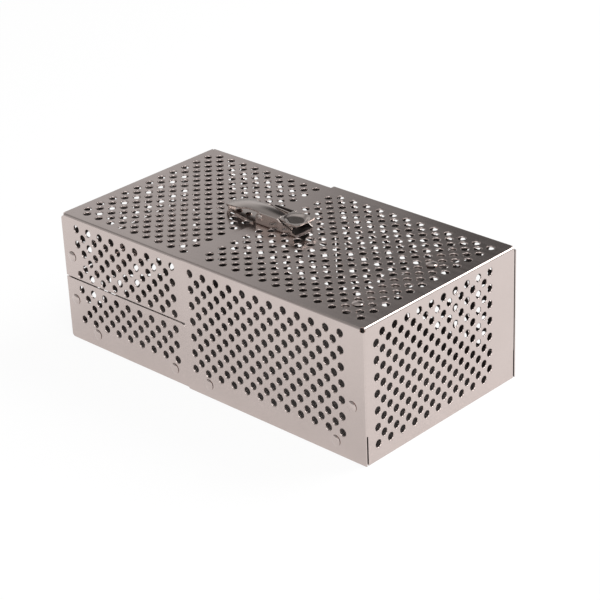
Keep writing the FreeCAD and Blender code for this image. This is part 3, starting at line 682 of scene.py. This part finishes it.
def add_end_wall(shell: SheetShell, end_x: float, inward: float, reach: float, wall: tuple[float, float],
                 flange: tuple[float, float], depth: float, lattice: Lattice) -> None:
    """Add an end wall whose upright edges turn inward into flanges.

    Args:
        shell: The sheet.
        end_x: Where the wall's face lies.
        inward: 1 where the inside is towards +X, -1 where it is towards -X.
        reach: Half the width of the wall's flat.
        wall: The flat's lowest and highest levels.
        flange: The flanges' lowest and highest levels.
        depth: How far the flanges reach inward.
        lattice: The wall's holes.
    """
    plane = Plane((end_x, 0, 0), (0, 1, 0), (0, 0, 1), (-inward, 0, 0))
    add_flat(shell, plane, rectangle(-reach, wall[0], reach, wall[1]), lattice)
    for way in (-1.0, 1.0):
        axis = [np.array([end_x + inward * FLANGE_BEND, way * reach, level]) for level in flange]
        add_bend(shell, (axis[0], axis[1]), -inward * X_WAY, way * Y_WAY, FLANGE_BEND)
        skins = []
        for under in (0.0, SHEET):
            corners = [(end_x + inward * along, way * (reach + FLANGE_BEND - under), level)
                       for along in (FLANGE_BEND, depth) for level in flange]
            skins.append(np.array(corners).reshape(2, 2, 3))
        shell.add_grid(skins[0], skins[1], smooth=False)


@dataclass
class LowerWalls:
    """The fixed walls under the lid: two flat sides with a rounded corner, and the folded left end."""

    left: float = -114.8
    right: float = -14.6
    half_width: float = 62.0
    top: float = 39.5
    rounding: float = 3.5
    foot_rounding: float = 2.0
    flange: float = 10.0
    flange_low: float = 17.5
    sides: Lattice = Lattice((-102.35, 14.63), 9, 3, (9.915, 9.729), (1, 1), 8, 2, left_out=((0, 1),))
    end: Lattice = Lattice((-48.2, 14.7), 10, 3, (9.82, 9.91), (-1, 1), 10, 2)

    def build(self) -> list[bpy.types.Object]:
        """Make the three walls.

        Returns:
            The pieces.
        """
        angles = np.linspace(0, math.pi / 2, 9)
        round_corner = np.stack([self.right - self.rounding + self.rounding * np.cos(angles),
                                 self.top - self.rounding + self.rounding * np.sin(angles)], axis=1)
        round_foot = np.stack([self.left + self.foot_rounding - self.foot_rounding * np.cos(angles),
                               self.foot_rounding - self.foot_rounding * np.sin(angles)], axis=1)
        outline = np.concatenate([round_foot, [(self.right, 0.0)], round_corner, [(self.left, self.top)]])
        pieces = []
        for way, node in ((-1.0, "lower_front_wall"), (1.0, "lower_back_wall")):
            shell = SheetShell()
            plane = Plane((0, way * self.half_width, 0), (1, 0, 0), (0, 0, 1), (0, way, 0))
            add_flat(shell, plane, outline, self.sides)
            pieces.append((shell.piece(node + "_punched"), node))
        shell = SheetShell()
        reach = self.half_width - SHEET - FOLD_GAP - FLANGE_BEND
        add_end_wall(shell, self.left, 1.0, reach, (0.0, self.top), (self.flange_low, self.top),
                     self.flange, self.end)
        pieces.append((shell.piece("lower_end_wall_punched"), "lower_end_wall"))
        for piece, node in pieces:
            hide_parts(node)
            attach(piece, Body.BASE.value)
            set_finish(piece, Slot.PERFORATED.value)
        return [piece for piece, _ in pieces]


def turned_solid(profile: np.ndarray, segments: int = 32) -> tuple[np.ndarray, list[np.ndarray]]:
    """A closed surface of revolution about Z: a profile from pole to pole turned through a circle.

    Args:
        profile: Radius and height from the upper pole to the lower one, the poles at radius 0.
        segments: The number of sides.

    Returns:
        Its points, and its faces in blocks.
    """
    angles = np.arange(segments) * math.tau / segments
    rings = profile[1:-1]
    x = rings[:, :1] * np.cos(angles)
    y = rings[:, :1] * np.sin(angles)
    z = np.broadcast_to(rings[:, 1:], x.shape)
    points = np.concatenate([[(0, 0, profile[0, 1])], np.stack([x, y, z], axis=-1).reshape(-1, 3),
                             [(0, 0, profile[-1, 1])]])
    numbers = 1 + np.arange(len(rings) * segments).reshape(len(rings), segments)
    ahead = np.roll(numbers, -1, axis=1)
    quads = np.stack([numbers[:-1], numbers[1:], ahead[1:], ahead[:-1]], axis=-1).reshape(-1, 4)
    cap = np.stack([np.zeros(segments, dtype=int), numbers[0], ahead[0]], axis=1)
    foot = np.stack([np.full(segments, len(points) - 1), ahead[-1], numbers[-1]], axis=1)
    return points, [quads, cap, foot]


class Facing(Enum):
    """The ways that a rivet's head can face, as the rows of its axes."""

    FRONT = ((1, 0, 0), (0, 0, 1), (0, -1, 0))
    BACK = ((-1, 0, 0), (0, 0, 1), (0, 1, 0))
    LEFT = ((0, -1, 0), (0, 0, 1), (-1, 0, 0))
    UP = ((1, 0, 0), (0, 1, 0), (0, 0, 1))


@dataclass
class RivetGroup:
    """Domed rivet heads that share a node: a low dome on a thin upright edge."""

    node: str
    body: Body
    places: list[tuple[float, float, float, Facing]]
    head: float = 6.5
    rise: float = 1.0
    edge: float = 0.3
    undercut: float = 0.3

    def build(self) -> bpy.types.Object:
        """Make all the heads as one piece.

        Returns:
            The piece.
        """
        radius = self.head / 2
        parts = np.linspace(0, 1, 9)
        dome = np.stack([radius * parts, self.edge + (self.rise - self.edge) * (1 - parts**2.2)], axis=1)
        profile = np.concatenate([dome, [(radius - self.undercut, 0.0), (0.0, 0.0)]])
        points, blocks = turned_solid(profile)
        placed = []
        for x, y, z, facing in self.places:
            placed.append(np.array([x, y, z]) + points @ np.array(facing.value, dtype=float))
        offsets = len(points) * np.arange(len(self.places))
        faces = [Faces((offsets[:, None, None] + block).reshape(-1, block.shape[1]), smooth=True)
                 for block in blocks]
        piece = make_mesh(self.node + "_domed", np.concatenate(placed), faces)
        mark_sharp(piece, 50)
        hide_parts(self.node)
        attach(piece, self.body.value)
        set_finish(piece, Slot.RIVET.value)
        return piece


def both_sides(half_width: float,
               places: list[tuple[float, float]]) -> list[tuple[float, float, float, Facing]]:
    """The same rivet places on the front and on the back."""
    front = [(x, -half_width, z, Facing.FRONT) for x, z in places]
    return front + [(x, half_width, z, Facing.BACK) for x, z in places]


@dataclass
class Latch:
    """The toggle latch across the top seam: base, lever with its dished tab, and arched claw."""

    centre: float = 3.2
    half_width: float = 7.7
    top: float = 81.0
    lever_pin: tuple[float, float] = (-9.8, 85.7)
    claw_pin: tuple[float, float] = (-0.8, 84.9)
    sheet: float = 0.9
    cheek_ends: tuple[float, float] = (-13.3, 16.7)
    cheek_height: float = 7.6
    cheek_round: float = 3.6
    cheek_slope: float = 13.4
    cheek_bend: float = 1.3
    least_cheek: float = 1.6
    arm_half: float = 2.3
    arm_reach: float = 23.0
    arm_out: float = 6.4
    tab_start: float = 12.9
    tab_length: float = 16.1
    tab_widening: float = 1.4
    tab_top: float = 88.6
    tab_sheet: float = 0.8
    dish_floor: tuple[float, float] = (88.2, 86.7)
    dish_span: tuple[float, float] = (0.506, 0.494)
    claw_half: float = 6.8
    claw_neck: float = 5.1
    claw_tip: float = 0.5
    claw_sag: float = 0.8
    claw_eye: float = 1.9

    def upright(self, name: str, outline: np.ndarray, depths: list[tuple[float, float]],
                bevel: float) -> bpy.types.Object:
        """Make plates from one front-view outline, carried between pairs of depths.

        Args:
            name: The object's name.
            outline: The corners in X and Z, anticlockwise seen from the front.
            depths: Where each plate starts and ends in Y.
            bevel: The easing of its edges.

        Returns:
            The object.
        """
        number = len(outline)
        points, sides, caps = [], [], []
        for near, far in depths:
            start = len(points) * 2 * number
            for depth in (near, far):
                points.append(np.column_stack([outline[:, 0], np.full(number, depth), outline[:, 1]]))
            points[-2:] = [np.concatenate(points[-2:])]
            ring = start + np.arange(number)
            ahead = np.roll(ring, -1)
            caps += [ring[None, :], (ring + number)[None, ::-1]]
            sides.append(np.stack([ahead, ring, ring + number, ahead + number], axis=1))
        blocks = [Faces(np.concatenate(sides))] + [Faces(cap) for cap in caps]
        plate = make_mesh(name, np.concatenate(points), blocks)
        ease_edges(plate, bevel)
        return plate

    def build_base(self) -> bpy.types.Object:
        """Make the bracket: a channel pressed from one sheet, with cheeks that slope at the right.

        Each cross-section runs down the near cheek, round a bend, over the floor and up the far cheek. The
        cheeks' height is a quarter circle, then level, then a straight fall. The cut right end takes the dark
        inner material as painted shade.
        """
        (left, right), bend = self.cheek_ends, self.cheek_bend
        near, far = self.centre - self.half_width, self.centre + self.half_width
        quarter = np.linspace(0, math.pi / 2, 8)
        x = np.concatenate([left + self.cheek_round * (1 - np.cos(quarter)),
                            [right - self.cheek_slope, right]])
        short = self.cheek_round - np.clip(x - left, 0, self.cheek_round)
        rise = self.cheek_height - self.cheek_round + np.sqrt(self.cheek_round**2 - short**2)
        slope = (self.cheek_height - self.least_cheek) * np.clip((right - x) / self.cheek_slope, 0, 1)
        rise = np.minimum(rise, self.least_cheek + slope)
        angles = np.linspace(0, math.pi / 2, 6)
        skins = []
        for under in (0.0, self.sheet):
            round_y, round_z = (bend - under) * np.cos(angles), (bend - under) * np.sin(angles)
            y = np.concatenate([[near + under], near + bend - round_y,
                                far - bend + round_y[::-1], [far - under]])
            z = np.concatenate([[0.0], bend - round_z, bend - round_z[::-1], [0.0]])
            grid = np.zeros((len(x), len(y), 3))
            grid[..., 0], grid[..., 1], grid[..., 2] = x[:, None], y, self.top + z
            grid[:, 0, 2] = grid[:, -1, 2] = self.top + rise
            skins.append(grid)
        shell = SheetShell()
        shell.add_grid(skins[0], skins[1])
        bracket = shell.piece("latch_bracket")
        faces = bracket.data.polygons
        side = read_out(faces, "material_index", np.int32)
        # Painted shade: the faces that face the right end take the dark inner material.
        side[read_out(faces, "normal", np.float32, 3)[::3] > 0.9] = 1
        faces.foreach_set("material_index", side)
        return bracket

    def build_lever(self) -> bpy.types.Object:
        """Make the lever: two arms, and a tab with an oval dish that widens to the right.

        The dish's floor falls to the right. The tab's height rises from it to the rim as a smooth step of
        the distance from the oval's middle, which is the square root of the squared parts along and across.
        """
        x, z = self.lever_pin
        left, low = x - self.arm_half, z - self.arm_half
        arm = np.array([(left, low), (x + self.arm_reach, low), (x + self.arm_reach + 2.3, 87.2),
                        (x + 13.6, 87.4), (left, z + self.arm_half)])
        near, far = self.centre - self.arm_out, self.centre + self.arm_out
        arms = self.upright("lever_arms", arm, [(near, near + 1.0), (far - 1.0, far)], 0.3)
        along, across = np.meshgrid(np.linspace(0, 1, 41), np.linspace(-1, 1, 33), indexing="ij")
        half = self.arm_out + self.tab_widening * smooth_step((along - 0.29) / 0.29)
        middle, reach = self.dish_span
        away = np.sqrt(((along - middle) / reach) ** 2 + across**2)
        floor = self.dish_floor[0] + (self.dish_floor[1] - self.dish_floor[0]) * along
        height = floor + (self.tab_top - floor) * smooth_step((away - 0.62) / 0.34)
        shortened = 1 - 0.05 * np.clip((np.abs(across) - 0.6) / 0.4, 0, 1) ** 2
        tab_x = x + self.tab_start + self.tab_length * along * shortened
        upper = np.stack([tab_x, self.centre + across * half, height], axis=-1)
        shell = SheetShell()
        shell.add_grid(upper, upper - self.tab_sheet * Z_WAY)
        return joined("latch_lever_dished", [arms, shell.piece("lever_tab")])

    def build_claw(self) -> bpy.types.Object:
        """Make the claw: a nearly level strap that curves down into a pointed bill, with an eye at the pin.

        Its centre line is the running sum of short steps whose fall grows evenly along each stretch. The half
        width is a rounded point at the nose, the full width behind it and a neck between the lever's arms.
        """
        x, z = self.claw_pin
        # Each stretch's falls at its two ends in degrees, and its length: eye, strap, shoulder, bill
        falls = ((-110.0, -10.0, 3.32), (-10.0, 6.0, 27.7), (6.0, 16.0, 10.8), (16.0, 70.0, 6.6))
        turn = np.radians(np.concatenate([np.linspace(start, end, 25)[:-1] for start, end, _ in falls]))
        step = np.repeat([length / 24 for _, _, length in falls], 24)
        run = np.cumsum(step[:, None] * np.stack([-np.cos(turn), -np.sin(turn)], axis=1), axis=0)
        start = math.radians(-falls[0][0])
        first = np.array([x + self.claw_eye * math.sin(start), z + self.claw_eye * math.cos(start)])
        line = first + np.concatenate([[(0.0, 0.0)], run])
        turn = np.append(turn, math.radians(falls[-1][1]))
        ways = np.stack([-np.sin(turn), np.cos(turn)], axis=1)
        to_tip = np.clip((line[:, 0] - line[-1, 0]) / 17.0, 0, 1)
        nose = self.claw_tip + (self.claw_half - self.claw_tip) * np.sqrt(1 - (1 - to_tip) ** 2)
        neck = smooth_step((line[:, 0] + 27.0) / 6.0)
        half = nose * (1 - neck) + self.claw_neck * neck
        across = np.linspace(-1, 1, 25)
        sag = self.claw_sag * (across**2)[None, :] * (half / self.half_width)[:, None]
        outer = np.stack([
            line[:, :1] - ways[:, :1] * sag,
            self.centre + half[:, None] * across,
            line[:, 1:] - ways[:, 1:] * sag,
        ], axis=-1)
        inner = outer - np.stack([ways[:, 0], 0 * ways[:, 0], ways[:, 1]], axis=1)[:, None, :] * self.sheet
        shell = SheetShell()
        shell.add_grid(outer, inner)
        angles = np.arange(24) * math.tau / 24
        core = self.claw_eye - 0.3
        tube = np.stack([x + core * np.cos(angles), z + core * np.sin(angles)], axis=1)
        sides = [(self.centre - self.claw_neck, self.centre + self.claw_neck)]
        eye = self.upright("claw_eye", tube, sides, 0.2)
        return joined("latch_claw_arched", [shell.piece("claw_arch"), eye])

    def build_pin(self) -> bpy.types.Object:
        """Make the lever's pin with its two domed heads, as one turned solid about the Y axis."""
        x, z = self.lever_pin
        parts = np.linspace(0, 1, 7)
        dome = np.stack([2.0 * parts, self.half_width + 0.2 + 0.6 * (1 - parts**2)], axis=1)
        upper = np.concatenate([dome, [(2.0, self.half_width), (1.2, self.half_width)]])
        lower = np.column_stack([upper[::-1, 0], -upper[::-1, 1]])
        points, blocks = turned_solid(np.concatenate([upper, lower]), 28)
        turned = np.stack([x + points[:, 0], self.centre + points[:, 2], z - points[:, 1]], axis=1)
        pin = make_mesh("lever_pin_headed", turned, [Faces(block, smooth=True) for block in blocks])
        mark_sharp(pin, 40)
        return pin

    def build(self) -> list[bpy.types.Object]:
        """Make the latch's pieces.

        Returns:
            The pieces.
        """
        pieces = []
        for piece, node, body, slot in (
            (self.build_base(), "latch_base", Body.BASE, Slot.LATCH),
            (self.build_lever(), "latch_lever", Body.LEVER, Slot.LATCH),
            (self.build_claw(), "latch_claw", Body.CLAW, Slot.LATCH),
            (self.build_pin(), "lever_pin", Body.BASE, Slot.PIN),
        ):
            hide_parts(node)
            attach(piece, body.value)
            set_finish(piece, slot.value)
            pieces.append(piece)
        return pieces


def smooth_step(value: np.ndarray) -> np.ndarray:
    """A smooth rise from 0 to 1, cubic with level ends."""
    part = np.clip(value, 0.0, 1.0)
    return part * part * (3.0 - 2.0 * part)


def ease_edges(piece: bpy.types.Object, width: float) -> None:
    """Round a plate's edges with a live bevel.

    Args:
        piece: The plate.
        width: The bevel's width in millimetres.
    """
    bevel = piece.modifiers.new("eased_edges", "BEVEL")
    bevel.width = width * METRES
    bevel.segments = 2
    bevel.limit_method = "ANGLE"
    bevel.angle_limit = math.radians(30)
    bevel.harden_normals = True


def joined(name: str, pieces: list[bpy.types.Object]) -> bpy.types.Object:
    """Apply the modifiers of some pieces and join them into one.

    Args:
        name: The new piece's name.
        pieces: The pieces, which go.

    Returns:
        The joined piece.
    """
    points, blocks, start = [], [], 0
    graph = bpy.context.evaluated_depsgraph_get()
    for piece in pieces:
        mesh = bpy.data.meshes.new_from_object(piece.evaluated_get(graph))
        points.append(read_out(mesh.vertices, "co", np.float32, 3).reshape(-1, 3) / METRES)
        corners = read_out(mesh.loops, "vertex_index", np.int32)
        sizes, starts, side = (read_out(mesh.polygons, label, np.int32)
                               for label in ("loop_total", "loop_start", "material_index"))
        smooth = read_out(mesh.polygons, "use_smooth", bool)
        for size, flag, inside in itertools.product(np.unique(sizes), (False, True), (False, True)):
            chosen = starts[(sizes == size) & (smooth == flag) & (side == inside)]
            if len(chosen):
                blocks.append(Faces(start + corners[chosen[:, None] + np.arange(size)], flag, inside))
        start += len(mesh.vertices)
        bpy.data.objects.remove(piece)
    whole = make_mesh(name, np.concatenate(points), blocks)
    mark_sharp(whole, 35)
    return whole


@dataclass
class Studio:
    """The floor, the soft light and the camera of the photograph."""

    camera_place: tuple[float, float, float] = (0.718036, -0.72197, 0.546311)
    right: tuple[float, float, float] = (0.72918, 0.68321, -0.03892)
    up: tuple[float, float, float] = (-0.28179, 0.3516, 0.89273)
    lens: float = 119.54
    paper: float = 0.9
    camera_glow: float = 0.9
    mirror_glow: float = 0.5
    table_edge: tuple[float, float] = (0.35, 1.0)
    horizon: float = 0.32
    tent: tuple[tuple[float, float], ...] = ((0.12, 0.45), (0.25, 0.75), (0.42, 0.62), (0.55, 0.37),
                                             (0.75, 0.32), (1.0, 0.65))
    dark_card: tuple[float, float, float] = (-0.4415, 0.7647, 0.4695)
    card_edge: tuple[float, float] = (0.955, 0.995)
    card_level: float = 0.1

    def build(self) -> None:
        """Make the floor, the world, the lamps and the camera."""
        self.make_floor()
        self.make_world()
        self.add_lamp("key_light", (0.42, 0.95, 1.0), 0.95, 17.0)
        self.add_lamp("fill_light", (0.6, -0.75, 1.2), 1.3, 12.0)
        self.make_camera()

    def make_floor(self) -> None:
        """A wide white floor that keeps the object's shadow.

        It glows for the camera and, less and less towards its far edge, for the metal that mirrors it.
        """
        size = 4000.0
        points = np.array([(-size, -size, 0), (size, -size, 0), (size, size, 0), (-size, size, 0)])
        floor = make_mesh("floor", points, [Faces(np.arange(4)[None, :])])
        paper = bpy.data.materials.new("studio_paper")
        paper.use_nodes = True
        tree = paper.node_tree
        tree.nodes.clear()
        matt = add_node(tree, "BsdfDiffuse", {"Color": (self.paper, self.paper, self.paper, 1.0)})
        rays = add_node(tree, "LightPath").outputs
        seen = add_node(tree, "Math", {0: rays["Is Camera Ray"], 1: self.camera_glow}, operation="MULTIPLY")
        share = add_node(tree, "Math", {0: rays["Is Glossy Ray"], 1: self.mirror_glow,
                                        2: seen.outputs["Value"]}, operation="MULTIPLY_ADD")
        place = add_node(tree, "TexCoord").outputs["Object"]
        away = add_node(tree, "VectorMath", {0: place}, operation="LENGTH")
        fade = add_node(tree, "MapRange", {
            "Value": away.outputs["Value"], "From Min": self.table_edge[0], "From Max": self.table_edge[1],
            "To Min": 1.0, "To Max": self.horizon}, interpolation_type="SMOOTHSTEP")
        level = add_node(tree, "Math", {0: fade.outputs["Result"], 1: rays["Is Camera Ray"]},
                         operation="MAXIMUM")
        glow = add_node(tree, "Emission", {"Color": (1.0, 1.0, 1.0, 1.0), "Strength": level.outputs["Value"]})
        blend = add_node(tree, "MixShader", {"Fac": share.outputs["Value"], 1: matt.outputs["BSDF"],
                                             2: glow.outputs["Emission"]})
        add_node(tree, "OutputMaterial", {"Surface": blend.outputs["Shader"]})
        floor.data.materials.append(paper)

    def make_world(self) -> None:
        """A studio tent, white to the camera: dim round the table, pale above it, a dark card behind."""
        world = bpy.data.worlds.new("studio_tent")
        bpy.context.scene.world = world
        world.use_nodes = True
        tree = world.node_tree
        place = add_node(tree, "TexCoord").outputs["Generated"]
        split = add_node(tree, "SeparateXYZ", {"Vector": place})
        ramp = add_node(tree, "ValToRGB", {"Fac": split.outputs["Z"]})
        levels = ((0.0, self.horizon), *self.tent)
        stops = ramp.color_ramp.elements
        for position, _ in levels[1:-1]:
            stops.new(position)
        for stop, (position, level) in zip(stops, levels):
            stop.position, stop.color = position, (level, level, level, 1.0)
        towards = add_node(tree, "VectorMath", {0: place, 1: self.dark_card}, operation="DOT_PRODUCT")
        card = add_node(tree, "MapRange", {
            "Value": towards.outputs["Value"], "From Min": self.card_edge[0], "From Max": self.card_edge[1],
            "To Min": 1.0, "To Max": self.card_level}, interpolation_type="SMOOTHSTEP")
        dimmed = add_node(tree, "Mix", {"Factor": 1.0, "A": ramp.outputs["Color"],
                                        "B": card.outputs["Result"]}, data_type="RGBA", blend_type="MULTIPLY")
        seen = add_node(tree, "LightPath").outputs["Is Camera Ray"]
        shown = add_node(tree, "Mix", {"Factor": seen, "A": dimmed.outputs["Result"],
                                       "B": (1.0, 1.0, 1.0, 1.0)}, data_type="RGBA")
        background = tree.nodes["Background"]
        background.inputs["Strength"].default_value = 1.0
        tree.links.new(shown.outputs["Result"], background.inputs["Color"])

    def add_lamp(self, name: str, place: tuple[float, float, float], size: float, power: float) -> None:
        """Add a square soft lamp aimed at the object.

        Args:
            name: The lamp's name.
            place: Where it hangs, in metres.
            size: Its side in metres.
            power: Its power in watts.
        """
        data = bpy.data.lights.new(name, "AREA")
        data.size = size
        data.energy = power
        lamp = bpy.data.objects.new(name, data)
        lamp.location = place
        lamp.rotation_euler = (Vector((0, 0, 0.04)) - Vector(place)).to_track_quat("-Z", "Y").to_euler()
        bpy.context.scene.collection.objects.link(lamp)

    def make_camera(self) -> None:
        """The camera where the perforation's perspective puts it."""
        data = bpy.data.cameras.new("camera")
        data.lens = self.lens
        data.sensor_width = 36.0
        data.clip_end = 30.0
        camera = bpy.data.objects.new("camera", data)
        right, up = Vector(self.right).normalized(), Vector(self.up).normalized()
        back = right.cross(up)
        axes = Matrix((right, up, back)).transposed().to_4x4()
        camera.matrix_world = Matrix.Translation(self.camera_place) @ axes
        bpy.context.scene.collection.objects.link(camera)
        bpy.context.scene.camera = camera


def dress(pieces: list[bpy.types.Object]) -> None:
    """Give every new piece and every CAD node the finish of its slot.

    Args:
        pieces: The new pieces.
    """
    groups = {"grain": rolled_grain_group(), "marks": handling_group()}
    materials = {slot: finish.material(groups) for slot, finish in FINISHES.items()}
    inner = INNER_PAINTED_SHADE.material(groups)
    slots = {part["node"]: Slot(part["material_slot"]) for part in frame["record"]["subparts"]}
    for name, node in frame["nodes"].items():
        node.data.materials.clear()
        node.data.materials.append(materials[slots[name]])
    for piece in pieces:
        slot = Slot(piece["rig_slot"])
        piece.data.materials.append(materials[slot])
        # The second material is dark steel that paints shade on the faces marked inside and on the bracket's
        # cut end.
        if slot in (Slot.PERFORATED, Slot.LATCH):
            piece.data.materials.append(inner)


def main() -> None:
    """Build the sub-assemblies in order, dress them and light them."""
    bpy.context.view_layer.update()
    pieces = []
    hood = FoldedCover(
        "hood_punched", Body.BASE, "hood", -14.0, 119.2, 63.0, 81.0, 0.0,
        Lattice((-7.47, 14.72), 12, 7, (10.04, 9.834), (1, 1), 11, 6),
        Lattice((-0.34, -53.6), 12, 12, (9.997, 9.647), (-1, 1), 12, 11),
        Lattice((-48.2, 14.7), 10, 7, (9.82, 9.91), (-1, -1), 10, 7), 13.0, 17.5)
    lid = FoldedCover(
        "lid_punched", Body.LID, "lid", -14.6, -114.8, 62.0, 80.0, 40.5,
        Lattice((-102.35, 43.82), 9, 4, (9.915, 9.729), (1, 1), 8, 3, left_out=((0, 1),)),
        Lattice((-101.36, -53.46), 9, 12, (10.021, 9.789), (-1, 1), 9, 11),
        Lattice((-48.2, 44.43), 10, 4, (9.82, 9.91), (-1, 1), 10, 3), 10.0, 40.5, round_corner=True)
    pieces += [hood.build(), lid.build()]
    pieces += LowerWalls().build()
    low = 8.0
    groups = [
        RivetGroup("tray_rivets", Body.BASE, both_sides(63.0, [(2.3, low), (97.6, low)])
                   + both_sides(62.0, [(-91.6, low), (-26.4, low)])),
        RivetGroup("hood_corner_rivets", Body.BASE, both_sides(63.0, [(109.9, 32.9)])),
        RivetGroup("lid_corner_rivets", Body.LID, both_sides(62.0, [(-108.4, 53.8)])),
        RivetGroup("lower_corner_rivets", Body.BASE, both_sides(62.0, [(-108.4, 26.0)])),
        RivetGroup("strap_rivets", Body.BASE,
                   [(97.85, -42.7, 81.0, Facing.UP), (97.85, 17.0, 81.0, Facing.UP)]),
        RivetGroup("hinge_lower_rivets", Body.BASE,
                   [(-115.6, 29.0 * step, 31.6, Facing.LEFT) for step in (-1, 0, 1)], head=4.0),
        RivetGroup("hinge_upper_rivets", Body.LID,
                   [(-115.6, 29.0 * step, 48.4, Facing.LEFT) for step in (-1, 0, 1)], head=4.0),
        RivetGroup("latch_base_rivets", Body.BASE,
                   [(x, 3.2, 82.0, Facing.UP) for x in (-7.3, 7.2)], head=4.0),
        RivetGroup("keeper_rivets", Body.LID,
                   [(x, 3.2, 81.0, Facing.UP) for x in (-33.8, -26.3)], head=4.0),
    ]
    pieces += [group.build() for group in groups]
    pieces += Latch().build()
    for piece in pieces:
        log.info("%s: %d faces", piece.name, len(piece.data.polygons))
    dress(pieces)
    Studio().build()
    bpy.context.scene.view_settings.view_transform = "Standard"


if __name__ == "__main__":
    main()
